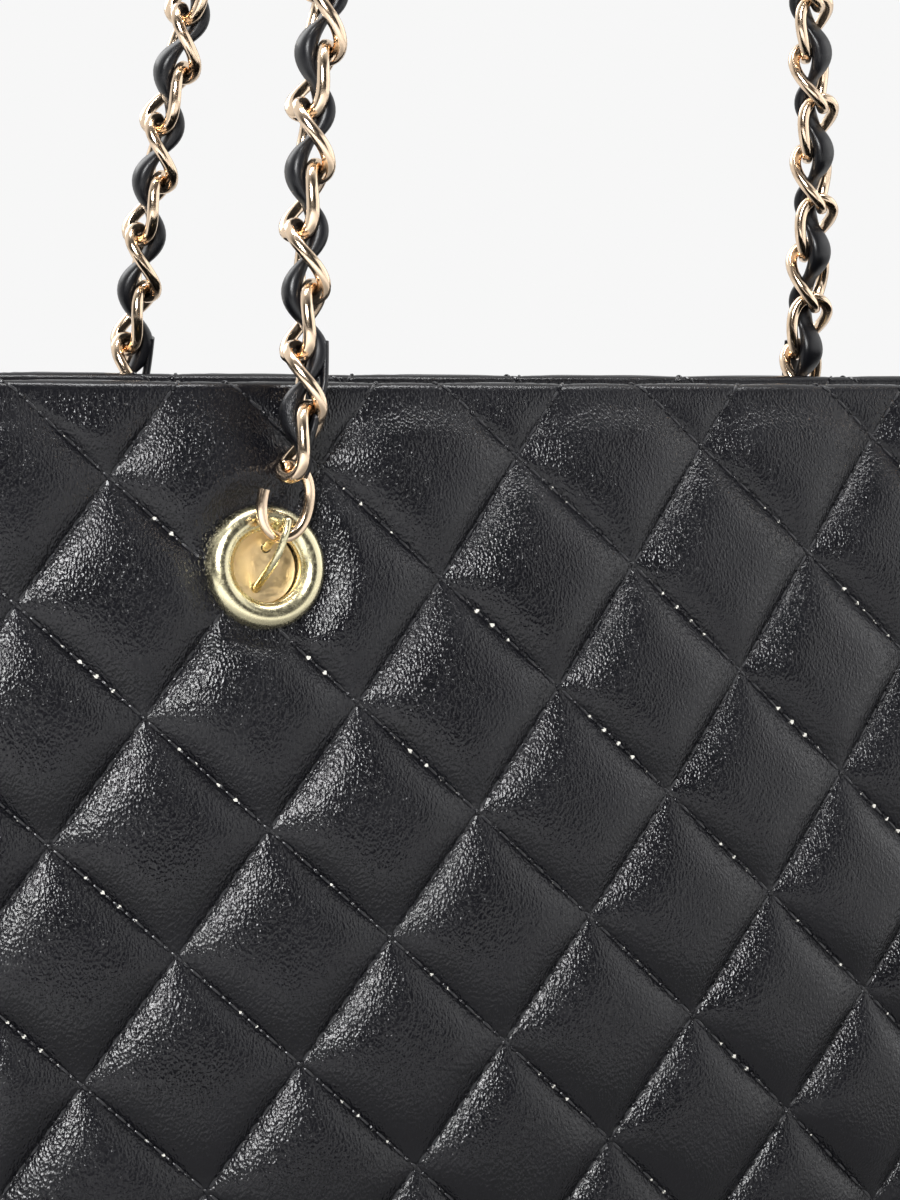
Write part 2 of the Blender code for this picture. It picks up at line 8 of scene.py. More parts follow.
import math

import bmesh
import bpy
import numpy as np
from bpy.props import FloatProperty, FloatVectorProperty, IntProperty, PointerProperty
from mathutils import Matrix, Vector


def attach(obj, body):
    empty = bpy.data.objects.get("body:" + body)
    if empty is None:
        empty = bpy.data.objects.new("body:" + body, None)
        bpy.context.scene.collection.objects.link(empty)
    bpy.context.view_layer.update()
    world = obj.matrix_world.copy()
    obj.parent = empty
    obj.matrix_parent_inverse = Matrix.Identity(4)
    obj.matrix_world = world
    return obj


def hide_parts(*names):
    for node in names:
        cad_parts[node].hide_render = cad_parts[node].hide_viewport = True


bl_info = {
    "name": "Quilted tote bag",
    "version": (1, 0, 0),
    "blender": (4, 5, 0),
    "location": "3D View > Sidebar > Tote bag",
    "description": "Builds the quilted walls, eyelets, chains and laces of a tote bag",
    "category": "Object",
}

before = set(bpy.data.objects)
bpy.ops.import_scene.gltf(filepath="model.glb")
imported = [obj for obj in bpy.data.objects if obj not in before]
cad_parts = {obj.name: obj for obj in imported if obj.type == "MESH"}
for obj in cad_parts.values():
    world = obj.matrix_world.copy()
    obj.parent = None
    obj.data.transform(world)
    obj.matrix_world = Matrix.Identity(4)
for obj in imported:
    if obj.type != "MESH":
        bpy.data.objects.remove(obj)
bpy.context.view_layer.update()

MM = 0.001
UP = np.array((0.0, 0.0, 1.0))
FACES = {"front": -1, "rear": 1}
SIDES = {"left": -1, "right": 1}
PANELS = ("front", "back")
SAME_PLACE = 1e-7


def linear(colour):
    """An sRGB hex colour as linear red, green, blue and alpha."""
    values = [int(colour[start:start + 2], 16) / 255 for start in (1, 3, 5)]
    bent = [v / 12.92 if v <= 0.04045 else ((v + 0.055) / 1.055) ** 2.4 for v in values]
    return (*bent, 1.0)


def length(label, about, value):
    """A length property, with its default in millimetres."""
    return FloatProperty(
        name=label, description=about, default=value * MM, unit="LENGTH", precision=5,
    )


def ratio(label, about, value):
    return FloatProperty(name=label, description=about, default=value, precision=3)


def angle(label, about, degrees):
    return FloatProperty(
        name=label, description=about, default=math.radians(degrees), subtype="ANGLE",
    )


def colour(label, about, value):
    return FloatVectorProperty(
        name=label, description=about, default=linear(value), size=4, subtype="COLOR",
    )


def whole(label, about, value):
    return IntProperty(name=label, description=about, default=value)


class BodySizes(bpy.types.PropertyGroup):
    """The bag's body."""

    height: length("Height", "From the base to the top edge", 270)
    top_width: length("Top width", "Between the gussets at the top edge", 384)
    base_width: length("Base width", "Between the gussets at the base", 368)
    top_depth: length("Top depth", "From front to back at the top corners", 84)
    base_depth: length("Base depth", "From front to back at the base corners", 104)
    corner: length("Corner radius", "Radius of the upright corners", 14)
    bulge: length("Bulge", "How far a face swells out of its plane", 21)
    bulge_start: ratio("Bulge start", "Phase of the bulge at the base", 0.1)
    bulge_end: ratio("Bulge end", "Phase of the bulge at the top edge", 0.97)
    pinch: length("Gusset pinch", "How far the gussets draw in at the top", 13)
    roll: length("Base roll", "How far the wall draws in at the base", 5)
    roll_height: length("Roll height", "Height of the rounded foot", 18)
    fold: length("Fold radius", "Radius of the leather folded over the top edge", 2.1)
    turn_in: length("Turn in", "Leather turned down inside the top edge", 7)
    base: length("Base thickness", "Thickness of the base panel", 3.3)
    skin: length("Leather", "Thickness of the leather", 0.9)
    wall: length("Wall", "Thickness of the wall to the inside of the facing", 5.0)
    facing_height: length("Facing", "Height of the plain band inside the mouth", 66)
    sag: length("Sag", "Unevenness of the soft walls", 1.1)


class QuiltSizes(bpy.types.PropertyGroup):
    """The quilting, as steps along its two directions on the flat leather."""

    rise_across: length("Rise across", "Width of one side of a diamond that rises", 23.1)
    rise_up: length("Rise up", "Height of one side of a diamond that rises", 28.35)
    fall_across: length("Fall across", "Width of one side of a diamond that falls", 28.75)
    fall_down: length("Fall down", "Height of one side of a diamond that falls", 26.25)
    from_eyelet_x: length("Node x", "A crossing, from the left eyelet", -7.2)
    from_eyelet_z: length("Node z", "A crossing, from the left eyelet", -5.45)
    puff: length("Puff", "Height of a diamond over its stitches", 4.2)
    fullness: ratio("Fullness", "Higher is flatter on top and steeper at the stitches", 3.4)
    valley: length("Valley", "Depth of the stitch lines under the plain surface", 0.9)
    furrow: length("Furrow", "Depth that the thread sinks in", 0.35)
    furrow_width: length("Furrow width", "Half width of the furrow", 0.65)
    cells_rise: whole("Rise cells", "Mesh steps along a rising side", 34)
    cells_fall: whole("Fall cells", "Mesh steps along a falling side", 34)
    stitches_rise: ratio("Rise stitches", "Stitches along a rising side", 7.0)
    stitches_fall: ratio("Fall stitches", "Stitches along a falling side", 6.5)
    thread: length("Thread", "Radius of the thread", 0.38)


class HardwareSizes(bpy.types.PropertyGroup):
    """The eyelets, plates, small rings and the snap."""

    spacing: length("Eyelet spacing", "Between the eyelets of one face", 224)
    drop: length("Eyelet drop", "From the top edge to an eyelet's centre", 42.5)
    radius: length("Eyelet radius", "Outer radius of the domed rim", 14.4)
    bore: length("Bore", "Radius of the rim's inner lip", 8.6)
    dome: length("Dome", "Height of the rim", 3.4)
    barrel: length("Barrel wall", "Thickness of the barrel", 0.9)
    washer_radius: length("Washer radius", "Outer radius of the washer", 13)
    washer: length("Washer", "Thickness of the washer", 0.8)
    plate_depth: length("Plate depth", "Depth of the plate in the bore", 2.6)
    plate: length("Plate", "Thickness of the plate", 0.8)
    ring_wire: length("Ring wire", "Diameter of the small ring's wire", 1.8)
    ring_holes: length("Ring holes", "Between the plate's two holes", 9.6)
    ring_turn: angle("Ring turn", "Turn of the two holes towards the middle", 17)
    hook_height: length("Hook height", "From the eyelet's centre up to the end link", 6.6)
    hook_out: length("Hook out", "From the leather out to the end link", 5.0)
    snap_drop: length("Snap drop", "From the top edge to the snap", 32)
    snap_radius: length("Snap radius", "Outer radius of the snap", 9)
    snap_height: length("Snap height", "Height of each half of the snap", 2.6)
    stud_radius: length("Stud radius", "Radius of the snap's stud", 3.0)
    stud_height: length("Stud height", "Height of the snap's stud", 1.8)


class StrapSizes(bpy.types.PropertyGroup):
    """The chains and the laces woven through them."""

    drop: length("Strap drop", "From the top edge to the top of the strap", 222)
    edge_spacing: length("Edge spacing", "Between the two runs at the top edge", 206)
    off_wall: length("Off the wall", "From the leather to the strap's middle", 8.5)
    front_lean: angle("Front lean", "Lean of the front strap towards the front", -6.5)
    rear_lean: angle("Rear lean", "Lean of the rear strap towards the front", 9.4)
    links: whole("Links", "Links of one strap", 43)
    wire: length("Wire", "Diameter of the link's wire", 3.15)
    half_width: length("Half width", "From the link's axis to the middle of its wire", 5.9)
    twist: angle("Twist", "Turn of each half of a link", 38)
    sway: length("Sway", "How far the junctions zigzag", 2.2)
    lace_sway: length("Lace sway", "How far the lace zigzags", 3.0)
    lace_width: length("Lace width", "Width of the lace where it is free", 7.6)
    lace_thickness: length("Lace thickness", "Thickness of the lace where it is free", 4.6)


class Finishes(bpy.types.PropertyGroup):
    """The colours of the finishes."""

    leather: colour("Leather", "Coated leather of the walls", "#09090c")
    leather_light: colour("Leather, worn", "Lighter patches of the same leather", "#111115")
    lace: colour("Lace", "Smooth leather of the laces", "#0a0b0e")
    thread: colour("Thread", "Sewing thread", "#1a1a1c")
    eyelet: colour("Eyelet", "Pale gold plate", "#e4dbb6")
    plate: colour("Plate", "Satin gold plate", "#efd3a2")
    chain: colour("Chain", "Warm gold plate", "#f2d8bb")
    steel: colour("Steel", "Plain steel", "#b4b4b2")
    lining: colour("Lining", "Woven lining", "#232327")
    foam: colour("Foam", "Sheet foam", "#dedbd2")
    board: colour("Board", "Pressed fibre board", "#9c8f79")
    floor: colour("Background", "Pale studio background", "#f7f7f7")
    # Painted shade: the floor's colour near the bag is darker. It stands in for the bag's shade and
    # dims what the leather reflects.
    floor_painted_shade: colour("Floor near the bag", "The floor in the lamps' light", "#8c8c8c")
    floor_cloth: colour("Floor", "The floor in the lamps' light", "#ececec")


GROUPS = {
    "tote_body": BodySizes,
    "tote_quilt": QuiltSizes,
    "tote_hardware": HardwareSizes,
    "tote_strap": StrapSizes,
    "tote_finish": Finishes,
}


def sizes():
    """The body, quilting, hardware and strap sizes of the open scene."""
    scene = bpy.context.scene
    return scene.tote_body, scene.tote_quilt, scene.tote_hardware, scene.tote_strap


def mix(start, end, share):
    return start + (end - start) * share


def smooth_step(value):
    value = np.clip(value, 0.0, 1.0)
    return value * value * (3 - 2 * value)


def unit(vectors):
    return vectors / np.maximum(np.linalg.norm(vectors, axis=-1, keepdims=True), 1e-12)


def squared(wave, fullness):
    """A wave between -1 and 1 whose circle turns squarer as fullness grows past 2."""
    return np.sign(wave) * np.abs(wave) ** (2 / fullness)


class Route:
    """A line that is read by its length."""

    def __init__(self, points):
        self.points = np.asarray(points, float)
        steps = np.linalg.norm(np.diff(self.points, axis=0), axis=1)
        self.reached = np.concatenate(([0.0], np.cumsum(steps)))
        self.length = float(self.reached[-1])

    def at(self, distance):
        distance = np.asarray(distance, float)
        columns = [np.interp(distance, self.reached, column) for column in self.points.T]
        return np.stack(columns, axis=-1)

    def tangent(self, distance, step=2.3 * MM):
        return unit(self.at(distance + step) - self.at(distance - step))


def resample(points, count):
    """The same line with evenly spaced points."""
    route = Route(points)
    return route.at(np.linspace(0, route.length, count))


FACE_STATIONS = 400
GUSSET_STATIONS = 120
BODY_LEVELS = 136
CORNER_SOFTNESS = 4
WALL_ARCS = {
    "front": (0, FACE_STATIONS),
    "right": (FACE_STATIONS, GUSSET_STATIONS),
    "back": (FACE_STATIONS + GUSSET_STATIONS, FACE_STATIONS),
    "left": (2 * FACE_STATIONS + GUSSET_STATIONS, GUSSET_STATIONS),
}


class Body:
    """The outer surface of the bag as rings of points, from the base to the top."""

    def __init__(self, body):
        self.size = body
        self.heights = np.linspace(0, body.height, BODY_LEVELS)
        self.points = np.array([self.ring(z) for z in self.heights])
        around = np.roll(self.points, -1, axis=1) - np.roll(self.points, 1, axis=1)
        rise = np.gradient(self.points, axis=0)
        self.normals = unit(np.cross(around, rise))

    def half_width(self, z):
        return mix(self.size.base_width, self.size.top_width, z / self.size.height) / 2 - self.roll(z)

    def half_depth(self, z):
        return mix(self.size.base_depth, self.size.top_depth, z / self.size.height) / 2 - self.roll(z)

    def roll(self, z):
        return self.size.roll * max(0.0, 1 - z / self.size.roll_height) ** 2

    def bulge(self, z):
        phase = mix(self.size.bulge_start, self.size.bulge_end, z / self.size.height)
        return self.size.bulge * math.sin(math.pi * phase)

    def face_y(self, x, z):
        """Distance of the front or rear surface from the XZ plane."""
        share = x / (self.half_width(z) - self.size.corner)
        return self.half_depth(z) + self.bulge(z) * (1 - share * share)

    def ring(self, z):
        """The section at a height, from the front left seam anticlockwise."""
        corner = self.size.corner
        flat_x = self.half_width(z) - corner
        flat_y = self.half_depth(z) - corner
        share = np.linspace(-1, 1, FACE_STATIONS // 2)
        turn = np.linspace(0, math.pi / 4, CORNER_SOFTNESS * 4)[1:]

        swell = self.bulge(z) * (1 - share ** 2)
        face = np.stack((flat_x * share, -(flat_y + corner + swell)), axis=1)
        end = np.stack((flat_x + corner * np.sin(turn), -(flat_y + corner * np.cos(turn))), axis=1)
        face = np.concatenate((end[::-1] * (-1, 1), face, end))

        pinch = self.size.pinch * (z / self.size.height) ** 2
        drawn_in = pinch * np.cos(math.pi / 2 * share) ** 2
        side = np.stack((flat_x + corner - drawn_in, flat_y * share), axis=1)
        end = np.stack((flat_x + corner * np.cos(turn), flat_y + corner * np.sin(turn)), axis=1)
        side = np.concatenate((end[::-1] * (1, -1), side, end))

        face = resample(face, FACE_STATIONS + 1)[:-1]
        side = resample(side, GUSSET_STATIONS + 1)[:-1]
        ring = np.concatenate((face, side, -face, -side))
        reach = range(-3 * CORNER_SOFTNESS, 3 * CORNER_SOFTNESS + 1)
        weights = np.exp([-(step / CORNER_SOFTNESS) ** 2 / 2 for step in reach])
        soft = sum(weight * np.roll(ring, step, axis=0) for weight, step in zip(weights, reach))
        return np.column_stack((soft / weights.sum(), np.full(len(ring), z)))


class Wall:
    """One wall's outer surface, wrapped from flat leather.

    A place on the flat leather is u, from the wall's middle, and v, which is the
    height up to the fold and then runs over the top edge and down inside it.
    """

    def __init__(self, body, name):
        start, count = WALL_ARCS[name]
        columns = np.arange(start, start + count + 1) % body.points.shape[1]
        self.size = body.size
        self.name = name
        self.points = body.points[:, columns]
        self.normals = body.normals[:, columns]
        top = self.points[-1]
        self.width = float(np.linalg.norm(np.diff(top, axis=0), axis=1).sum())
        self.fold_start = self.size.height - self.size.fold
        self.end = self.fold_start + math.pi * self.size.fold + self.size.turn_in
        self.foot = self.size.base

    def read(self, table, u, z):
        """Values of a table of rings at places on the wall."""
        levels, stations = table.shape[:2]
        column = np.clip(u / self.width + 0.5, 0, 1) * (stations - 1)
        row = np.clip(z / self.size.height, 0, 1) * (levels - 1)
        left = np.minimum(column.astype(int), stations - 2)
        low = np.minimum(row.astype(int), levels - 2)
        right_share = (column - left)[:, None]
        high_share = (row - low)[:, None]
        lower = mix(table[low, left], table[low, left + 1], right_share)
        upper = mix(table[low + 1, left], table[low + 1, left + 1], right_share)
        return mix(lower, upper, high_share)

    def place(self, u, v, lift=0.0, depth=0.0):
        """Points and outward normals at flat places.

        Depth moves a point straight into the wall, and lift moves it along the
        leather's own normal, which turns with the fold.
        """
        u = np.asarray(u, float)
        v = np.broadcast_to(np.asarray(v, float), u.shape)
        radius = self.size.fold
        turn = np.clip((v - self.fold_start) / radius, 0, math.pi)
        inside = np.maximum(v - self.fold_start - math.pi * radius, 0)
        z = np.minimum(v, self.fold_start) + radius * np.sin(turn) - inside
        base = self.read(self.points, u, z)
        out = unit(self.read(self.normals, u, z))
        normal = out * np.cos(turn)[:, None] + UP * np.sin(turn)[:, None]
        inward = (radius * (1 - np.cos(turn)) + depth)[:, None]
        points = base - out * inward + normal * np.broadcast_to(lift, u.shape)[:, None]
        points[:, 2] = points[:, 2] - base[:, 2] + z
        return points, normal

    def place_at(self, x, z):
        """The flat place of a point of a face, from its x and its height."""
        row = self.points[int(round(z / self.size.height * (len(self.points) - 1))), :, 0]
        way = 1 if row[-1] > row[0] else -1
        station = np.interp(x * way, row * way, np.arange(len(row)))
        return self.width * (station / (len(row) - 1) - 0.5)

    def frame(self, u, v, depth=0.0, inwards=False):
        """A matrix on the wall: +Z along the normal, +Y up the wall."""
        origin, normal = self.place(np.array([u]), np.array([v]), depth=depth)
        out = Vector(normal[0])
        if inwards:
            out.negate()
        across = Vector(UP).cross(out).normalized()
        up = out.cross(across)
        turn = Matrix((across, up, out)).transposed().to_4x4()
        return Matrix.Translation(Vector(origin[0])) @ turn


def eyelet_places(wall, hardware):
    """The flat places of the two eyelets on a face."""
    height = wall.size.height - hardware.drop
    return [(wall.place_at(side * hardware.spacing / 2, height), height) for side in (-1, 1)]


# How far mesh lines are drawn to the stitches, from 0, even, to 1.
GATHERING = 0.84
CELL_TABLE = 64
PUFF_CHANCE = 0.14
FOLD_PUFF = 0.08
# Widths over which the padding and the sag fade in from each edge.
CALM_WIDTHS = {"seam": 11 * MM, "foot": 9 * MM, "fold": 13 * MM, "eyelet": 8 * MM}
SAG_WIDTHS = {"seam": 40 * MM, "fold": 45 * MM, "foot": 40 * MM}
# How fast the sag's first wave turns across and up the wall, in radians per metre, for each
# of the two that are multiplied. The later waves turn faster one way and are lower.
SAG_WAVES, SAG_SINE, SAG_COSINE = 6, (9, 17), (13, 11)
# Share of the furrow's depth between two stitches, and at an edge or an eyelet.
FURROW_BETWEEN, FURROW_AT_EDGE = 0.45, 0.35
STITCH_PULL, STITCH_PULL_WIDTH = 0.22, 3.2 * MM
EDGE_ROUNDING, EDGE_ROUNDING_WIDTH = 1.5 * MM, 1.7 * MM
STITCH_SHARES = (0.17, 0.83, 1.17)
STITCH_MARGIN, STITCH_FOLD_MARGIN, STITCH_EYELET_MARGIN = 3.2 * MM, 3.5 * MM, 1.5 * MM


class Quilt:
    """The quilting on one wall: its lines, its puffs and its stitches."""

    def __init__(self, wall, quilt, hardware):
        self.wall = wall
        self.size = quilt
        self.rise = np.array((quilt.rise_across, quilt.rise_up))
        self.fall = np.array((quilt.fall_across, -quilt.fall_down))
        self.cell = abs(self.rise[0] * self.fall[1] - self.rise[1] * self.fall[0])
        self.eyelets = []
        node = np.array((0.0, wall.size.height - hardware.drop))
        if wall.name in PANELS:
            self.eyelets = eyelet_places(wall, hardware)
            node = np.array(self.eyelets[0])
        self.node = node + np.array((quilt.from_eyelet_x, quilt.from_eyelet_z))
        self.clear = hardware.radius
        random = np.random.default_rng(sum(ord(letter) for letter in wall.name))
        self.cells = random.uniform(-1, 1, (CELL_TABLE, CELL_TABLE, 3))

    def flat(self, a, b):
        """Flat places of lattice coordinates, which count sides of diamonds."""
        a, b = np.asarray(a, float), np.asarray(b, float)
        place = self.node + a[..., None] * self.rise + b[..., None] * self.fall
        return place[..., 0], place[..., 1]

    def lattice(self, u, v):
        basis = np.array((self.rise, self.fall)).T
        return np.linalg.solve(basis, np.stack((u - self.node[0], v - self.node[1])))

    def line_distances(self, a, b):
        """Distances from the nearest falling and the nearest rising line."""
        to_falling = np.abs(a - np.round(a)) * self.cell / np.linalg.norm(self.fall)
        to_rising = np.abs(b - np.round(b)) * self.cell / np.linalg.norm(self.rise)
        return to_falling, to_rising

    def calm(self, u, v):
        """How far the padding is free, from 0 at an edge or an eyelet to 1."""
        wall = self.wall
        seam = wall.width / 2 - np.abs(u)
        width = CALM_WIDTHS
        free = smooth_step(seam / width["seam"]) * smooth_step((v - wall.foot) / width["foot"])
        free = free * mix(FOLD_PUFF, 1.0, smooth_step((wall.fold_start - v) / width["fold"]))
        for x, z in self.eyelets:
            free = free * smooth_step((np.hypot(u - x, v - z) - self.clear) / width["eyelet"])
        return free

    def sag(self, u, v):
        """Slow unevenness of the soft wall, still at its edges."""
        wall = self.wall
        waves = np.zeros_like(u)
        for step in range(1, SAG_WAVES + 1):
            phase = self.cells[step, 0] * math.pi
            sine = np.sin(step * SAG_SINE[0] * u + SAG_SINE[1] * v + phase[0])
            cosine = np.cos(SAG_COSINE[0] * u - step * SAG_COSINE[1] * v + phase[1])
            waves += sine * cosine / step
        width = SAG_WIDTHS
        edge = smooth_step((wall.width / 2 - np.abs(u)) / width["seam"])
        edge = edge * smooth_step((wall.fold_start - v) / width["fold"])
        edge = edge * smooth_step((v - wall.foot) / width["foot"])
        return wall.size.sag * waves * edge

    def lift(self, u, v):
        """Height of the leather over the plain wall."""
        size = self.size
        a, b = self.lattice(u, v)
        column, row = (np.floor(lattice).astype(int) % CELL_TABLE for lattice in (a, b))
        dome = np.ones_like(u)
        for lattice_share in (a - np.floor(a), b - np.floor(b)):
            dome = dome * (1 - np.abs(2 * lattice_share - 1) ** size.fullness)
        puff = size.puff * (1 + PUFF_CHANCE * self.cells[column, row, 2]) * dome

        to_falling, to_rising = self.line_distances(a, b)
        on_falling = 0.5 - 0.5 * np.cos(2 * math.pi * b * size.stitches_fall)
        on_rising = 0.5 - 0.5 * np.cos(2 * math.pi * a * size.stitches_rise)
        sunk = np.zeros_like(u)
        for distance, stitch in ((to_falling, on_falling), (to_rising, on_rising)):
            furrow = np.exp(-(distance / size.furrow_width) ** 2) * mix(FURROW_BETWEEN, 1.0, stitch)
            pull = STITCH_PULL * np.exp(-distance / STITCH_PULL_WIDTH) * (stitch - 0.5)
            sunk = np.maximum(sunk, furrow + pull)
        free = self.calm(u, v)
        edges = (self.wall.width / 2 - np.abs(u), v - self.wall.foot)
        rounding = sum(np.exp(-(away / EDGE_ROUNDING_WIDTH) ** 2) for away in edges)
        lifted = free * (puff - size.valley) - mix(FURROW_AT_EDGE, 1.0, free) * size.furrow * sunk
        return lifted + self.sag(u, v) - EDGE_ROUNDING * rounding

    def outline(self):
        """Lattice coordinates of the flat leather's four corners."""
        half, foot, end = self.wall.width / 2, self.wall.foot, self.wall.end
        return self.lattice(np.array((-half, half, half, -half)), np.array((foot, foot, end, end)))

    def sheet(self, steps_rise, steps_fall):
        """Flat leather ruled along the quilting and cut to the wall's outline."""
        half, wall = self.wall.width / 2, self.wall
        (low_a, high_a), (low_b, high_b) = (
            (math.floor(lattice.min()), math.ceil(lattice.max())) for lattice in self.outline()
        )
        shape = bmesh.new()
        bmesh.ops.create_grid(
            shape, size=0.5,
            x_segments=(high_a - low_a) * steps_rise, y_segments=(high_b - low_b) * steps_fall,
        )
        across, along = corners(shape)[:, :2].T + 0.5
        u, v = self.flat(gathered(mix(low_a, high_a, across)), gathered(mix(low_b, high_b, along)))
        move(shape, np.column_stack((u, v, np.zeros_like(u))))
        cuts = (((-half, 0, 0), (-1, 0, 0)), ((half, 0, 0), (1, 0, 0)),
                ((0, wall.foot, 0), (0, -1, 0)), ((0, wall.end, 0), (0, 1, 0)))
        for place, outwards in cuts:
            everything = shape.verts[:] + shape.edges[:] + shape.faces[:]
            bmesh.ops.bisect_plane(
                shape, geom=everything, dist=SAME_PLACE,
                plane_co=place, plane_no=outwards, clear_outer=True,
            )
        return shape

    def stitch_lines(self):
        """Each stitch, and each gap behind one, as two ends in lattice coordinates."""
        wall, size = self.wall, self.size
        a, b = self.outline()
        ends = []
        ways = ((a, b, size.stitches_rise, True), (b, a, size.stitches_fall, False))
        for along, across, per_side, rising in ways:
            lines = np.arange(math.floor(across.min()), math.ceil(across.max()) + 1)
            steps = np.arange(math.floor(along.min() * per_side), math.ceil(along.max() * per_side))
            line, step = [grid.ravel() for grid in np.meshgrid(lines, steps)]
            start, stop, onward = ((step + share) / per_side for share in STITCH_SHARES)
            places = (start, stop, stop, onward)
            pairs = [(place, line) if rising else (line, place) for place in places]
            ends.append(np.stack([value for pair in pairs for value in pair], axis=1))
        ends = np.concatenate(ends)
        u, v = self.flat((ends[:, 0] + ends[:, 2]) / 2, (ends[:, 1] + ends[:, 3]) / 2)
        inside = (np.abs(u) < wall.width / 2 - STITCH_MARGIN) & (v > wall.foot + STITCH_MARGIN)
        inside &= v < wall.end - STITCH_FOLD_MARGIN
        for x, z in self.eyelets:
            inside &= np.hypot(u - x, v - z) > self.clear + STITCH_EYELET_MARGIN
        return ends[inside, :4], ends[inside, 4:]


def gathered(sides):
    """Lattice coordinates drawn close to the stitch lines, where the leather bends."""
    return sides - GATHERING * np.sin(2 * math.pi * sides) / (2 * math.pi)


def corners(shape):
    """The places of a mesh's corners, as an array."""
    return np.array([vert.co for vert in shape.verts])


def move(shape, places):
    for vert, place in zip(shape.verts, places):
        vert.co = place


def mesh_of_bands(bands):
    """A mesh of equal bands of points, each with its own rows.

    The points of a row run round a tube or across a strip, and those that fall
    together, such as at a seam or a pole, are merged.
    """
    bands = np.asarray(bands, float)
    count, along, across = bands.shape[:3]
    shape = bmesh.new()
    bmesh.ops.create_grid(shape, x_segments=across - 1, y_segments=count * along - 1, size=0.5)
    shape.faces.ensure_lookup_table()
    between = [face for index, face in enumerate(shape.faces)
               if (index // (across - 1) + 1) % along == 0]
    move(shape, bands.reshape(-1, 3))
    if between:
        bmesh.ops.delete(shape, geom=between, context="FACES")
    bmesh.ops.remove_doubles(shape, verts=shape.verts, dist=SAME_PLACE)
    bmesh.ops.recalc_face_normals(shape, faces=shape.faces)
    return shape


FINISHES = {}


def mesh_from(shape, name):
    mesh = bpy.data.meshes.new(name)
    shape.to_mesh(mesh)
    shape.free()
    return mesh


def add_object(name, data):
    made = bpy.data.objects.new(name, data)
    bpy.context.collection.objects.link(made)
    return made


def finish_piece(name, shape, finish, body="bag", stands_in=True, sharp=40):
    """A piece that rides on a body and, as a rule, stands for the packed node of its name."""
    mesh = mesh_from(shape, name)
    mesh.shade_smooth()
    mesh.set_sharp_from_angle(angle=math.radians(sharp))
    mesh.materials.append(FINISHES[finish])
    piece = add_object(f"{name}_look", mesh)
    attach(piece, body)
    if stands_in:
        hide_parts(name)
    return piece


def refinish(node, finish):
    """Gives a packed node's own shape a finish."""
    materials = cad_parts[node].data.materials
    materials.clear()
    materials.append(FINISHES[finish])


def section(tangents, normals, sides, squareness=2.0, flatness=1.0):
    """A tube's section at each point of its middle line, for a radius of 1."""
    side = unit(np.cross(tangents, normals))
    up = np.cross(side, tangents)
    turn = np.linspace(0, 2 * math.pi, sides + 1)
    wide = squared(np.cos(turn), squareness)
    tall = squared(np.sin(turn), squareness) * flatness
    return side[..., None, :] * wide[:, None] + up[..., None, :] * tall[:, None]


def tube_bands(lines, radii, sides, normals, **form):
    """Tubes round several middle lines, closed at both ends by a pole.

    Lines is lines x points x 3, and radii has one radius for each point.
    """
    lines = np.asarray(lines, float)
    tangents = unit(np.gradient(lines, axis=1))
    radii = np.broadcast_to(radii, lines.shape[:2])[..., None, None]
    return lines[:, :, None] + radii * section(tangents, normals, sides, **form)


def closed_tube(line, radius, sides, normals, **form):
    """One tube round a closed middle line, as a band of points."""
    tangents = unit(np.roll(line, -1, axis=0) - np.roll(line, 1, axis=0))
    ring = line[:, None] + radius * section(tangents, normals, sides, **form)
    return np.concatenate((ring, ring[:1]))


def spun(profile, matrix, steps=72, closed=True):
    """A profile of (radius, height) points turned about a frame's +Z."""
    shape = bmesh.new()
    verts = [shape.verts.new((radius, 0, height)) for radius, height in profile]
    edges = [shape.edges.new(pair) for pair in zip(verts, verts[1:])]
    if closed:
        edges.append(shape.edges.new((verts[-1], verts[0])))
    bmesh.ops.spin(
        shape, geom=verts + edges, axis=(0, 0, 1), cent=(0, 0, 0), angle=2 * math.pi,
        steps=steps, use_merge=True, use_duplicate=False,
    )
    bmesh.ops.remove_doubles(shape, verts=shape.verts, dist=SAME_PLACE)
    bmesh.ops.recalc_face_normals(shape, faces=shape.faces)
    bmesh.ops.transform(shape, matrix=matrix, verts=shape.verts)
    return shape


def arc(centre, radius, start, end, count):
    """Points of an arc in the plane of a profile, angles in degrees."""
    turns = np.radians(np.linspace(start, end, count))
    return [(centre[0] + radius[0] * math.cos(turn), centre[1] + radius[1] * math.sin(turn))
            for turn in turns]


def add_node(tree, kind, output, inputs=None, **settings):
    """Adds a node, sets its properties, sets or links its inputs and gives an output."""
    node = tree.nodes.new(f"ShaderNode{kind}")
    for name, value in settings.items():
        setattr(node, name, value)
    for name, value in (inputs or {}).items():
        socket = node.inputs[name]
        if isinstance(value, bpy.types.NodeSocket):
            tree.links.new(value, socket)
        else:
            socket.default_value = value
    return node.outputs[output] if output else node.outputs


def start_tree(owner):
    """The cleared node tree of a material or a world."""
    owner.use_nodes = True
    owner.node_tree.nodes.clear()
    return owner.node_tree


def start_material(name):
    """A new material, its tree and the place that its patterns read."""
    made = bpy.data.materials.new(name)
    tree = start_tree(made)
    return made, tree, add_node(tree, "TexCoord", "Object")


def add_surface(tree, tone, roughness, relief, others=None):
    """The shader and the material's output."""
    inputs = {"Base Color": tone, "Roughness": roughness, "Normal": relief, **(others or {})}
    shader = add_node(tree, "BsdfPrincipled", "BSDF", inputs)
    add_node(tree, "OutputMaterial", None, {"Surface": shader})


def scaled(base, factor):
    """A colour made darker or lighter."""
    return tuple(min(1.0, channel * factor) for channel in base[:3]) + (1.0,)


STRETCHED_FROM, STRETCHED_TO = 3.2 * MM, 0.8 * MM
# One cell of the leather's patches, the plate's tarnish and handling marks, the thread's
# plies and the floor's dust. The marks are drawn coarser than real ones, so that they show.
PATCH, TARNISH, MARK, PLY, DUST = 50 / 3 * MM, 50 / 11 * MM, 10 / 9 * MM, 1 / 3 * MM, 250 * MM
# Period of a wave texture whose Scale is 1, in metres.
WAVE_PERIOD = 0.31


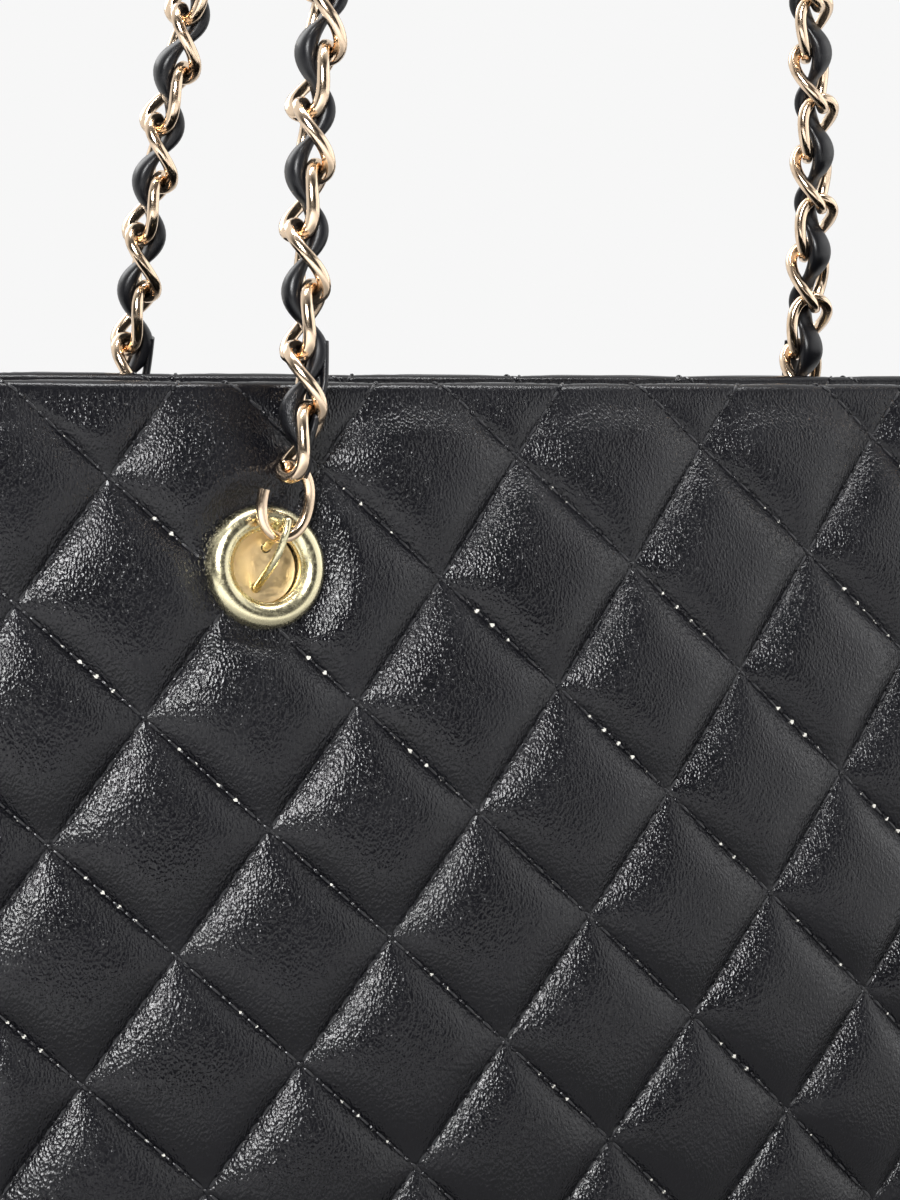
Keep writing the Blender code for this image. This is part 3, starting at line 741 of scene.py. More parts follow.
def coated_leather(name, base, light, grain, roughness, gloss_level=0.35):
    """Leather with a thin coating, pressed with a fine grain.

    The coating gives a soft sheen, and the grain breaks it into small glints.
    Over the top fold the leather is stretched and its grain is almost flat.
    Grain is the size of one cell of the grain.
    """
    made, tree, place = start_material(name)
    long = add_node(tree, "Mapping", "Vector", {"Vector": place, "Scale": (1.0, 1.0, 0.62)})
    bend = add_node(tree, "TexNoise", "Color", {
        "Vector": long, "Scale": 0.5 / grain, "Detail": 2.0, "Roughness": 0.6,
    })
    bent = add_node(tree, "VectorMath", "Vector", {
        0: bend, 1: (grain * 1.4,) * 3, 2: long,
    }, operation="MULTIPLY_ADD")
    cells = add_node(tree, "TexVoronoi", "Distance", {
        "Vector": bent, "Scale": 1 / grain, "Smoothness": 0.6, "Randomness": 1.0,
    }, feature="SMOOTH_F1")
    patches = add_node(tree, "TexNoise", "Fac", {
        "Vector": place, "Scale": 1 / PATCH, "Detail": 3.0, "Roughness": 0.55,
    })
    tone = add_node(tree, "Mix", "Result", {
        "Factor": patches, "A": base, "B": light,
    }, data_type="RGBA")
    gloss = add_node(tree, "MapRange", "Result", {
        "Value": patches, "From Min": 0.3, "From Max": 0.7,
        "To Min": roughness - 0.05, "To Max": roughness + 0.06,
    })
    top = bpy.context.scene.tote_body.height
    stretched = add_node(tree, "MapRange", "Result", {
        "Value": add_node(tree, "SeparateXYZ", "Z", {"Vector": place}),
        "From Min": top - STRETCHED_FROM, "From Max": top - STRETCHED_TO,
        "To Min": 1.0, "To Max": 0.1,
    })
    relief = add_node(tree, "Bump", "Normal", {
        "Height": cells, "Strength": stretched, "Distance": grain * 0.34,
    })
    add_surface(tree, tone, gloss, relief, {"Specular IOR Level": gloss_level})
    return made


def plated_metal(name, base, roughness, brushing):
    """Polished and plated metal with faint handling marks.

    Plate is smooth, so it mirrors the room, and fine marks widen its glints.
    """
    made, tree, place = start_material(name)
    marks = add_node(tree, "TexNoise", "Fac", {
        "Vector": place, "Scale": 1 / MARK, "Detail": 4.0, "Roughness": 0.6,
    })
    tarnish = add_node(tree, "TexNoise", "Fac", {
        "Vector": place, "Scale": 1 / TARNISH, "Detail": 2.0, "Roughness": 0.5,
    })
    tone = add_node(tree, "Mix", "Result", {
        "Factor": tarnish, "A": scaled(base, 0.86), "B": base,
    }, data_type="RGBA")
    gloss = add_node(tree, "MapRange", "Result", {
        "Value": marks, "From Min": 0.3, "From Max": 0.7,
        "To Min": roughness * 0.75, "To Max": roughness * 1.35,
    })
    relief = add_node(tree, "Bump", "Normal", {
        "Height": marks, "Strength": brushing, "Distance": 0.02 * MM,
    })
    add_surface(tree, tone, gloss, relief, {"Metallic": 1.0})
    return made


def spun_thread(name, base):
    """Twisted polyester thread: a soft dark sheen."""
    made, tree, place = start_material(name)
    plies = add_node(tree, "TexNoise", "Fac", {"Vector": place, "Scale": 1 / PLY, "Detail": 1.0})
    tone = add_node(tree, "Mix", "Result", {
        "Factor": plies, "A": base, "B": scaled(base, 2.2),
    }, data_type="RGBA")
    relief = add_node(tree, "Bump", "Normal", {
        "Height": plies, "Strength": 0.5, "Distance": 0.08 * MM,
    })
    add_surface(tree, tone, 0.3, relief, {"Sheen Weight": 0.1})
    return made


def woven_cloth(name, base, thread):
    """Plain woven lining: threads over and under at right angles."""
    made, tree, place = start_material(name)
    warp, weft = (add_node(tree, "TexWave", "Fac", {
        "Vector": place, "Scale": WAVE_PERIOD / thread, "Distortion": 0.4, "Detail": 1.0,
    }, bands_direction=direction) for direction in ("X", "Z"))
    height = add_node(tree, "Math", "Value", {0: warp, 1: weft}, operation="MAXIMUM")
    tone = add_node(tree, "Mix", "Result", {
        "Factor": height, "A": base, "B": scaled(base, 1.8),
    }, data_type="RGBA")
    relief = add_node(tree, "Bump", "Normal", {
        "Height": height, "Strength": 0.5, "Distance": thread * 0.3,
    })
    add_surface(tree, tone, 0.8, relief, {"Sheen Weight": 0.25})
    return made


def cellular(name, base, cell, roughness):
    """Sheet foam or pressed board: small cells or fibres in a matt mass."""
    made, tree, place = start_material(name)
    cells = add_node(tree, "TexVoronoi", "Distance", {"Vector": place, "Scale": 1 / cell})
    tone = add_node(tree, "Mix", "Result", {
        "Factor": cells, "A": base, "B": scaled(base, 0.7),
    }, data_type="RGBA")
    relief = add_node(tree, "Bump", "Normal", {
        "Height": cells, "Strength": 0.6, "Distance": cell * 0.3,
    })
    add_surface(tree, tone, roughness, relief)
    return made


def make_finishes():
    """Every material of the bag, by the name that the pieces use."""
    look = bpy.context.scene.tote_finish
    skin = (look.leather, look.leather_light)
    return {
        "leather": coated_leather("coated leather", *skin, 0.55 * MM, 0.23),
        "facing": coated_leather("plain coated leather", *skin, 0.4 * MM, 0.48),
        "lace": coated_leather("smooth lace leather", look.lace, look.leather_light, 0.35 * MM, 0.34),
        "pulled": coated_leather("stretched coated leather", *skin, 0.3 * MM, 0.25, 0.42),
        "thread": spun_thread("polyester thread", look.thread),
        "eyelet": plated_metal("pale gold plate", look.eyelet, 0.24, 0.25),
        "plate": plated_metal("satin gold plate", look.plate, 0.4, 0.7),
        "chain": plated_metal("warm gold plate", look.chain, 0.15, 0.3),
        "steel": plated_metal("plain steel", look.steel, 0.35, 0.6),
        "lining": woven_cloth("woven lining", look.lining, 0.45 * MM),
        "foam": cellular("sheet foam", look.foam, 0.6 * MM, 0.95),
        "board": cellular("pressed fibre board", look.board, 0.9 * MM, 0.85),
    }


BODY_PARTS = {}


def body_shape():
    """The body's surface, worked out once."""
    if "body" not in BODY_PARTS:
        BODY_PARTS["body"] = Body(sizes()[0])
    return BODY_PARTS["body"]


def quilt_of(name):
    """The quilting of one wall, worked out once."""
    if name not in BODY_PARTS:
        _, quilt, hardware, _ = sizes()
        BODY_PARTS[name] = Quilt(Wall(body_shape(), name), quilt, hardware)
    return BODY_PARTS[name]


def snap_holes_to_circle(shape, quilt, radius):
    """Opens a round hole at each eyelet in a flat sheet of leather."""
    for x, z in quilt.eyelets:
        inside = [vert for vert in shape.verts if math.hypot(vert.co.x - x, vert.co.y - z) < radius]
        linked = {vert for centre in inside for edge in centre.link_edges for vert in edge.verts}
        rim = linked - set(inside)
        bmesh.ops.delete(shape, geom=inside, context="VERTS")
        for vert in rim:
            away = Vector((vert.co.x - x, vert.co.y - z)).normalized() * radius
            vert.co.x, vert.co.y = x + away.x, z + away.y


def build_wall(name, node, wadding):
    """One quilted wall: its leather, its foam and its stitches."""
    quilt = quilt_of(name)
    _, size, hardware, _ = sizes()
    shape = quilt.sheet(size.cells_rise, size.cells_fall)
    snap_holes_to_circle(shape, quilt, hardware.bore + hardware.barrel + 0.4 * MM)
    u, v = corners(shape)[:, :2].T
    move(shape, quilt.wall.place(u, v, quilt.lift(u, v))[0])
    bmesh.ops.reverse_faces(shape, faces=shape.faces)
    leather = finish_piece(node, shape, "leather", sharp=75)
    change = leather.modifiers.new("Thickness", "SOLIDIFY")
    change.thickness = quilt.wall.size.skin
    change.offset = -1.0
    build_wadding(quilt, wadding)
    build_stitches(quilt, f"{node}_stitches")


def with_poles(rows):
    """Rows of points with their two ends drawn to a middle point."""
    rows = np.asarray(rows)
    start, end = (np.broadcast_to(row.mean(axis=0), rows[:1].shape) for row in (rows[0], rows[-1]))
    return np.concatenate((start, rows, end))


FOAM_COLUMNS, FOAM_ROWS = 96, 80
FOAM_SIDE_GAP, FOAM_FOOT_GAP, FOAM_TOP_GAP = 1.2 * MM, 1.0 * MM, 8.0 * MM
FOAM_SKIN_GAP, FOAM_BACK_GAP = 0.45 * MM, 1.3 * MM


def build_wadding(quilt, node):
    """The foam behind a wall, puffed like the leather and flat inside."""
    wall = quilt.wall
    gap = wall.size.skin + FOAM_SKIN_GAP
    back = wall.size.wall - FOAM_BACK_GAP
    u = np.linspace(-wall.width / 2 + FOAM_SIDE_GAP, wall.width / 2 - FOAM_SIDE_GAP, FOAM_COLUMNS)
    heights = np.linspace(wall.foot + FOAM_FOOT_GAP, wall.fold_start - FOAM_TOP_GAP, FOAM_ROWS)
    rows = []
    for v in heights:
        front = np.maximum(gap - quilt.lift(u, np.full_like(u, v)), gap * 0.2)
        rows.append(wall.place(u, v, depth=np.minimum(front, back - 0.3 * MM))[0])
    rows += [wall.place(u, v, depth=back)[0] for v in heights[::-1]]
    band = with_poles(np.swapaxes([*rows, rows[0]], 0, 1))
    foam = finish_piece(node, mesh_of_bands([np.swapaxes(band, 0, 1)]), "foam")
    if quilt.eyelets:
        cut_with(foam, barrel_tools([quilt]))


STITCH_STATIONS = 8
STITCH_SIDES = 6


def stitch_bands(quilt, ends, radius, low, high, **form):
    """Short bars along the stitch lines that dive into the leather at both ends.

    Low and high are the heights of a bar's ends and middle over the furrow.
    """
    share = np.linspace(0, 1, STITCH_STATIONS)
    a = mix(ends[:, 0, None], ends[:, 2, None], share)
    b = mix(ends[:, 1, None], ends[:, 3, None], share)
    u, v = (flat.ravel() for flat in quilt.flat(a, b))
    lift = quilt.lift(u, v) + np.tile(mix(low, high, np.sin(math.pi * share) ** 0.6), len(ends))
    found = quilt.wall.place(u, v, lift)
    points, normals = (rows.reshape(len(ends), STITCH_STATIONS, 3) for rows in found)
    taper = np.sin(math.pi * share) ** 0.35
    taper[0] = taper[-1] = 0.0
    return tube_bands(points, radius * taper, STITCH_SIDES, normals, **form)


def build_stitches(quilt, name):
    """Every stitch of one wall's quilting, and the leather that stands up between them."""
    stitches, bridges = quilt.stitch_lines()
    thread = quilt.size.thread
    bands = stitch_bands(quilt, stitches, thread, -0.9 * thread, 0.35 * thread)
    finish_piece(name, mesh_of_bands(bands), "thread", stands_in=False)
    bands = stitch_bands(quilt, bridges, 0.52 * MM, -0.3 * MM, 0.12 * MM, flatness=0.75)
    finish_piece(f"{name}_bridges", mesh_of_bands(bands), "pulled", stands_in=False)


LOOP_COUNT = 260


def loop_points(depth, z, count=LOOP_COUNT):
    """Points round the body at a depth and a height."""
    body = body_shape()
    level = int(round(z / body.size.height * (BODY_LEVELS - 1)))
    points = body.points[level] - unit(body.normals[level] * (1, 1, 0)) * depth
    points[:, 2] = z
    return points[np.linspace(0, len(points), count, endpoint=False).astype(int)]


def ring_band(rows):
    """Closed rings of points, stacked and joined round."""
    return np.array([np.concatenate((row, row[:1])) for row in rows])


def build_base():
    """The base panel with its rounded rim."""
    size = sizes()[0]
    top = size.base - 0.1 * MM
    rim, bend = 2.4 * MM, 1.6 * MM
    profile = [(30 * MM, 0.0), (8 * MM, 0.0), (rim, 0.0)]
    profile += [(rim - bend * math.sin(turn), bend - bend * math.cos(turn))
                for turn in np.linspace(0.3, math.pi / 2, 5)]
    profile += [(0.9 * MM, top - 0.6 * MM), (1.4 * MM, top), (6 * MM, top), (30 * MM, top)]
    rings = [loop_points(depth, 0.0) * (1, 1, 0) + UP * z for depth, z in profile]
    finish_piece("base_panel", mesh_of_bands([ring_band(with_poles(rings))]), "leather")


def build_facing():
    """The band of plain leather inside the mouth."""
    size = sizes()[0]
    top = size.height - 4.2 * MM
    inner, outer = size.wall, size.wall - 1.0 * MM
    heights = np.linspace(size.height - size.facing_height, top - 0.5 * MM, 26)
    profile = [(outer, z) for z in heights] + [((inner + outer) / 2, top)]
    profile += [(inner, z) for z in heights[::-1]]
    rings = [loop_points(depth, z, 2 * LOOP_COUNT) for depth, z in profile]
    facing = finish_piece("top_facing", mesh_of_bands([ring_band([*rings, rings[0]])]), "facing")
    cut_with(facing, barrel_tools([quilt_of("front"), quilt_of("back")]))


# Folds round the lining, and how far they turn as they rise, in radians per metre.
LINING_FOLDS, LINING_SLANT = 23, 40


def build_lining():
    """The cloth bag inside, slack below the facing."""
    size = sizes()[0]
    foot = size.base + 2.6 * MM
    top = size.height - size.facing_height - 0.3 * MM
    cloth, slack = 0.8 * MM, 0.5 * MM
    turns = np.linspace(0, 2 * math.pi, LOOP_COUNT, endpoint=False)
    outer, inner = [], []
    for z in np.linspace(foot, top, 40):
        belly = math.sin(math.pi * (z - foot) / (top - foot))
        away = slack + slack * np.sin(LINING_FOLDS * turns + LINING_SLANT * z) * belly
        out = loop_points(size.wall - 1.0 * MM, z)
        inwards = unit(out * (-1, -1, 0))
        outer.append(out)
        inner.append(out + inwards * (cloth + away)[:, None] + UP * (cloth if z == foot else 0.0))
    shape = mesh_of_bands([ring_band(with_poles(outer + inner[::-1]))])
    finish_piece("lining", shape, "lining")


def eyelet_frame(face, side):
    """The frame at an eyelet's centre on the outer surface."""
    quilt = quilt_of("front" if face < 0 else "back")
    return quilt.wall.frame(*quilt.eyelets[0 if side < 0 else 1])


def ring_frame(face, side):
    """The same frame, turned to the plate's two holes."""
    turn = sizes()[2].ring_turn
    return eyelet_frame(face, side) @ Matrix.Rotation(-face * side * turn, 4, "Z")


def build_eyelet(name, face, side):
    """A domed rim with its stepped lip, the barrel and the curl behind it."""
    body, _, size, _ = sizes()
    place = eyelet_frame(face, side)
    lip = size.bore - 0.4 * MM
    middle = (size.radius + lip) / 2
    half = size.radius - middle
    curl_top = -(body.wall + 2.0 * MM)
    profile = arc((middle, 0.1 * MM), (half, size.dome - 0.1 * MM), -6, 148, 26)
    ledge = profile[-1][1]
    profile += [
        (lip + 0.3 * MM, ledge - 0.12 * MM), (lip + 0.06 * MM, ledge - 0.35 * MM),
        (lip, ledge - 0.8 * MM), (lip + 0.1 * MM, -0.3 * MM),
        (size.bore, -0.8 * MM), (size.bore, curl_top - 0.4 * MM),
    ]
    barrel = size.bore + size.barrel
    profile += arc((barrel, curl_top - 0.2 * MM), (0.9 * MM, 0.8 * MM), 180, 360, 10)
    profile += [(barrel, curl_top), (barrel, 0.25 * MM), (size.radius - 1.2 * MM, 0.12 * MM)]
    finish_piece(f"{name}_eyelet", spun(profile, place, steps=128), "eyelet")

    foot = -(body.wall + 0.9 * MM + size.washer)
    inner, outer = barrel + 0.3 * MM, size.washer_radius
    washer = [(inner, foot), (outer - 0.3 * MM, foot), (outer, foot + 0.3 * MM),
              (outer, foot + size.washer), (inner, foot + size.washer)]
    finish_piece(f"{name}_washer", spun(washer, place), "eyelet")


def add_cylinders(radius, depth, sides, places):
    """Closed cylinders to cut with, each about its own frame's +Z."""
    tools = bmesh.new()
    for matrix in places:
        bmesh.ops.create_cone(
            tools, cap_ends=True, segments=sides,
            radius1=radius, radius2=radius, depth=depth, matrix=matrix,
        )
    return tools


def barrel_tools(quilts):
    """A cylinder through the wall at each eyelet of some faces."""
    body, _, size, _ = sizes()
    places = [quilt.wall.frame(*place) for quilt in quilts for place in quilt.eyelets]
    return add_cylinders(size.bore + size.barrel + 0.3 * MM, 4 * body.wall, 48, places)


def cut_with(piece, tools):
    """Cuts a piece with closed shapes, for good."""
    tool = add_object("tools", mesh_from(tools, "tools"))
    change = piece.modifiers.new("Holes", "BOOLEAN")
    change.operation = "DIFFERENCE"
    change.object = tool
    graph = bpy.context.evaluated_depsgraph_get()
    cut = bpy.data.meshes.new_from_object(piece.evaluated_get(graph))
    piece.modifiers.clear()
    piece.data = cut
    bpy.data.objects.remove(tool)


def build_plate(name, face, side):
    """The plate in the bore: a shallow dish with two holes for the ring."""
    size = sizes()[2]
    place = ring_frame(face, side)
    top = -size.plate_depth
    back = top - size.plate
    radius = size.bore - 0.12 * MM
    profile = [
        (0.0, top - 0.28 * MM), (radius * 0.45, top - 0.24 * MM),
        (radius * 0.8, top - 0.12 * MM), (radius - 0.7 * MM, top),
        (radius - 0.25 * MM, top + 0.12 * MM), (radius, top - 0.1 * MM),
        (radius, back), (radius * 0.5, back - 0.2 * MM), (0.0, back - 0.25 * MM),
    ]
    plate = finish_piece(f"{name}_plate", spun(profile, place, closed=False), "plate")
    holes = [place @ Matrix.Translation((0, way * size.ring_holes / 2, top)) for way in (-1, 1)]
    cut_with(plate, add_cylinders(size.ring_wire / 2 + 0.3 * MM, 4 * size.plate, 24, holes))


def smooth_loop(points, count):
    """A closed curve through points, each one passed smoothly."""
    points = np.asarray(points, float)
    total = len(points)
    share = np.linspace(0, total, count, endpoint=False)
    index = share.astype(int)
    t = (share - index)[:, None]
    p0, p1, p2, p3 = (points[(index + step) % total] for step in (-1, 0, 1, 2))
    return 0.5 * (2 * p1 + (p2 - p0) * t + (2 * p0 - 5 * p1 + 4 * p2 - p3) * t ** 2
                  + (3 * p1 - p0 - 3 * p2 + p3) * t ** 3)


def build_ring(name, face, side):
    """The small wire ring through the plate's holes and the end link."""
    _, _, size, strap = sizes()
    wire, half, depth = size.ring_wire, size.ring_wire / 2, size.plate_depth
    hole, hook = size.ring_holes / 2, size.hook_height
    back = -(depth + size.plate + half + 0.3 * MM)
    front = size.hook_out + (strap.wire * 1.1 + wire) / 2 + 0.6 * MM
    over = hook + 1.3 * strap.wire
    bend = mix(hook, over, 0.7)
    route = [
        (-hole, back), (-hole, -depth), (-hole + half, -half),
        (mix(-hole, hook, 0.56), mix(-half, front, 0.77)),
        (hook, front), (bend, front), (over, front - half), (bend, size.hook_out - wire / 4),
        (mix(hole, over, 0.435), mix(-half, size.hook_out, 0.51)), (hole, -depth), (hole, back),
    ]
    line = smooth_loop([(0.0, up, out) for up, out in route], 88)
    shape = mesh_of_bands([closed_tube(line, half, 16, np.broadcast_to((1.0, 0.0, 0.0), line.shape))])
    bmesh.ops.transform(shape, matrix=ring_frame(face, side), verts=shape.verts)
    finish_piece(f"{name}_ring", shape, "eyelet")


def build_snap():
    """The two halves of the magnetic snap and the washers behind them."""
    body, _, size, _ = sizes()
    foot, top = 0.3 * MM, 0.3 * MM + size.snap_height
    outer, stud = size.snap_radius, size.stud_radius
    well, peak = top - size.stud_height, top + size.stud_height
    case = [(0.0, foot), (outer, foot), (outer, foot + 0.5 * MM), (outer - 0.5 * MM, foot + 0.9 * MM)]
    case += arc((outer - 1.9 * MM, foot + 0.9 * MM), (1.4 * MM, top - foot - 0.9 * MM), 0, 90, 7)
    middles = {
        "socket": [(stud + 1.2 * MM, top - 0.2 * MM), (stud + 0.5 * MM, top - 0.25 * MM),
                   (stud + 0.3 * MM, top - 0.5 * MM), (stud + 0.3 * MM, well), (0.0, well)],
        "stud": [(stud + 0.6 * MM, top - 0.1 * MM), (stud, top + 0.1 * MM), (stud, peak - 0.5 * MM),
                 (stud - 0.5 * MM, peak), (0.0, peak)],
    }
    for (half, middle), wall_name in zip(middles.items(), PANELS):
        wall = quilt_of(wall_name).wall
        place = wall.frame(0.0, body.height - size.snap_drop, depth=body.wall, inwards=True)
        finish_piece(f"snap_{half}", spun(case + middle, place, closed=False), "eyelet")
        refinish(f"snap_{half}_washer", "steel")


ARCH_POINTS = 400
LINK_POINTS = 48
LINK_SIDES = 12
LINK_FORM = {"squareness": 2.5, "flatness": 0.94}
LINK_FULLNESS = 2.15
LINK_OVERLAP = 0.15 * MM
END_LINK_POINTS = 96
# The first and last missing station of the left and the right end link's wire.
END_LINK_GAPS = ((76, 90), (54, 68))
END_LINK_THINNER = 0.26 * MM
SHOULDER_SHARE = 0.4
# Shares of a strap's length, and the sway's turn there in degrees.
WEAVE_TURNS = ((0.0, -27), (0.93, 77), (1.0, 24))


class Strap:
    """One strap's path, its junctions, its links and its lace."""

    def __init__(self, face):
        self.body, _, self.hardware, self.size = sizes()
        self.face = face
        self.route = Route(self.path())
        self.first = self.size.wire / 2
        self.pitch = (self.route.length - 2 * self.first) / self.size.links

    def path(self):
        shape, size, face = body_shape(), self.size, self.face
        hooks = ring_frame(face, 1) @ Vector((0, self.hardware.hook_height, self.hardware.hook_out))
        half = size.edge_spacing / 2
        top = self.body.height
        edge = np.array((half, face * (shape.face_y(half, top) + size.off_wall), top))
        z = mix(hooks.z, top, SHOULDER_SHARE)
        y = face * (shape.face_y(half, z) + size.off_wall)
        run = np.array((tuple(hooks), (mix(hooks.x, half, SHOULDER_SHARE), y, z), edge))
        turn = np.pi * np.arange(1, ARCH_POINTS) / ARCH_POINTS
        rise = size.drop * np.sin(turn)
        lean = size.rear_lean if face > 0 else size.front_lean
        arch = np.stack((-half * np.cos(turn), edge[1] - rise * math.tan(lean), top + rise), axis=1)
        return np.concatenate((run * (-1, 1, 1), arch, run[::-1]))

    def weave(self, distance):
        """The direction in which the junctions and the lace sway."""
        tangent = self.route.tangent(distance)
        outwards = unit(np.cross((0.0, -1.0, 0.0), tangent))
        front = np.cross(tangent, outwards)
        shares, turns = zip(*WEAVE_TURNS)
        turn = np.radians(np.interp(distance / self.route.length, shares, turns))[..., None]
        return np.cos(turn) * outwards + np.sin(turn) * front

    def sway(self, distance):
        steps = (distance - self.first) / self.pitch
        fade = np.clip(np.minimum(steps, self.size.links - steps) - 0.5, 0, 1)
        return -fade * np.cos(math.pi * steps)

    def junction(self, number):
        distance = self.first + number * self.pitch
        return self.route.at(distance) + self.size.sway * self.sway(distance) * self.weave(distance)

    def link_line(self, number, points=LINK_POINTS):
        """A link's closed middle line and the normals of its plane."""
        near, far = self.junction(number), self.junction(number + 1)
        axis = unit(far - near)
        reach = (self.size.wire - LINK_OVERLAP) / 2
        near, far = near - reach * axis, far + reach * axis
        half = np.linalg.norm(far - near) / 2
        at_end = number in (0, self.size.links - 1)
        distance = self.first + (number + 0.5) * self.pitch
        side = np.array((1.0, 0.0, 0.0)) if at_end else np.cross(axis, self.weave(distance))
        side = unit(side - axis * (side @ axis))
        other = np.cross(axis, side)
        turn = 2 * math.pi * (np.arange(points) + 0.5) / points
        along, across = squared(np.cos(turn), LINK_FULLNESS), squared(np.sin(turn), LINK_FULLNESS)
        twist = ((0.0 if at_end else self.size.twist) * along)[:, None]
        spun_side = np.cos(twist) * side - np.sin(twist) * other
        spun_other = np.cos(twist) * other + np.sin(twist) * side
        line = (near + far) / 2 + axis * (half * along)[:, None]
        return line + spun_side * (self.size.half_width * across)[:, None], spun_other

    def link_band(self, number):
        line, normals = self.link_line(number)
        return closed_tube(line, self.size.wire / 2, LINK_SIDES, normals, **LINK_FORM)

    def open_link_band(self, number):
        """An end link, with a gap between its cut ends near the next link."""
        line, normals = self.link_line(number, END_LINK_POINTS)
        first, last = END_LINK_GAPS[0 if number == 0 else 1]
        kept = np.arange(last, first + END_LINK_POINTS) % END_LINK_POINTS
        radius = self.size.wire / 2 - END_LINK_THINNER
        return tube_bands(line[kept][None], radius, LINK_SIDES, normals[kept][None], **LINK_FORM)

    def beside(self, distance, away):
        """The route, moved aside by the given amounts against the weave, and the weave."""
        weave = self.weave(distance)
        return self.route.at(distance) - away[:, None] * weave, weave


LACE_STEP = 0.9 * MM
LACE_SIDES = 40
LACE_START = 0.95
LACE_CREASE, CREASE_WIDTH = 0.1, 0.16
LACE_CREASES = (2.3, 2 * math.pi - 2.3)
LACE_NARROWS, LACE_THINS = 0.72, 0.5
LACE_TAIL = 31 * MM
TAIL_SWAYS = (1.0 * MM, 4.4 * MM)
TAIL_WIDTH, TAIL_THICKNESS = 6.4 * MM, 2.0 * MM
TAIL_POINTS = 24


def lace_band(line, weave, width, thickness):
    """A flat padded strip along a line, closed at both ends."""
    tangents = unit(np.gradient(line, axis=0))
    across = unit(np.cross(tangents, weave))
    through = np.cross(across, tangents)
    turn = np.linspace(0, 2 * math.pi, LACE_SIDES + 1)
    creases = [np.exp(-((turn - place) / CREASE_WIDTH) ** 2) for place in LACE_CREASES]
    edge = 1 - LACE_CREASE * sum(creases)
    wide = squared(np.cos(turn), 2.6) * edge
    tall = squared(np.sin(turn), 2.4) * edge
    rows = line[:, None] + across[:, None] * (width[:, None] * wide / 2)[..., None]
    return with_poles(rows + through[:, None] * (thickness[:, None] * tall / 2)[..., None])


def build_strap(face_name, face):
    """The chain, its end links and the lace of one strap."""
    strap = Strap(face)
    size = strap.size
    body = f"{face_name}_strap"
    last = size.links - 1
    chain = mesh_of_bands([strap.link_band(number) for number in range(1, last)])
    finish_piece(f"{face_name}_chain", chain, "chain", body)
    for side, number in (("left", 0), ("right", last)):
        shape = mesh_of_bands(strap.open_link_band(number))
        finish_piece(f"{face_name}_{side}_end_link", shape, "chain", body)

    start = strap.first + LACE_START * strap.pitch
    end = strap.route.length - start
    distance = np.arange(start, end, LACE_STEP)
    sway = strap.sway(distance)
    free = np.abs(sway)
    line, weave = strap.beside(distance, size.lace_sway * sway)
    width = size.lace_width * mix(LACE_NARROWS, 1.0, free)
    thickness = size.lace_thickness * mix(LACE_THINS, 1.0, free)
    lace = mesh_of_bands([lace_band(line, weave, width, thickness)])
    finish_piece(f"{face_name}_lace", lace, "lace", body)

    share = np.linspace(0, 1, TAIL_POINTS)
    away = mix(*TAIL_SWAYS, np.sin(share * math.pi / 2))
    width, thickness = np.full(TAIL_POINTS, TAIL_WIDTH), np.full(TAIL_POINTS, TAIL_THICKNESS)
    tails = [lace_band(*strap.beside(distance, away), width, thickness)
             for distance in (start + LACE_TAIL * share, end - LACE_TAIL * share)]
    name = f"{face_name}_lace_ends"
    finish_piece(name, mesh_of_bands(tails), "lace", body, stands_in=False, sharp=30)


# In the photograph's pixels: its size, the left front eyelet's middle and the focal length.
PHOTO_SIZE = (900, 1200)
EYELET_PIXEL = (265, 567)
EYELET_DISTANCE = 781 * MM
FOCAL_PIXELS = 3400
VIEW_AZIMUTH = -28.18
VIEW_PITCH = 4.93
VIEW_ROLL = 0.87
SENSOR = 36.0
CLIP_RANGE = (0.05, 50.0)


def build_camera():
    """The photograph's long lens, set by where it sees the left front eyelet."""
    turn, pitch, roll = (math.radians(value) for value in (VIEW_AZIMUTH, VIEW_PITCH, VIEW_ROLL))
    level = Vector((-math.sin(turn), math.cos(turn), 0))
    forward = level * math.cos(pitch) - Vector(UP) * math.sin(pitch)
    right = forward.cross(Vector(UP)).normalized()
    above = right.cross(forward)
    right, above = (
        right * math.cos(roll) + above * math.sin(roll),
        above * math.cos(roll) - right * math.sin(roll),
    )
    across, down = (
        (pixel - side / 2) / FOCAL_PIXELS for pixel, side in zip(EYELET_PIXEL, PHOTO_SIZE)
    )
    eyelet = eyelet_frame(-1, -1).translation
    data = bpy.data.cameras.new("camera")
    camera = add_object("camera", data)
    camera.location = eyelet - EYELET_DISTANCE * (forward + right * across - above * down)
    camera.rotation_mode = "QUATERNION"
    camera.rotation_quaternion = Matrix((right, above, -forward)).transposed().to_quaternion()
    data.sensor_fit = "AUTO"
    data.sensor_width = SENSOR
    data.lens = FOCAL_PIXELS / PHOTO_SIZE[1] * SENSOR
    data.clip_start, data.clip_end = CLIP_RANGE
    bpy.context.scene.camera = camera


BACKDROP_SIDE = (0.2, 0.88, 0.42)
ROOM_GLOW = 0.2
FLOOR_HALF = 3.0
FLOOR_GLOW = 0.6
# Distances from the bag's middle over which the floor's painted shade fades into its pale colour.
SHADE_FADE_FROM, SHADE_FADE_TO = 0.25, 0.6
LAMP_TARGET = Vector((0.0, -0.05, 0.2))
# Name, azimuth and elevation in degrees, distance, width and height in metres, and watts.
LAMPS = (
    ("left lamp", -41, 26, 1.5, 0.5, 0.5, 30),
    ("right lamp", 60, 10, 1.6, 2.2, 1.6, 14),
    ("top lamp", 0, 80, 1.3, 1.3, 0.14, 14),
    ("back lamp", -160, 35, 1.6, 1.0, 1.0, 8),
)


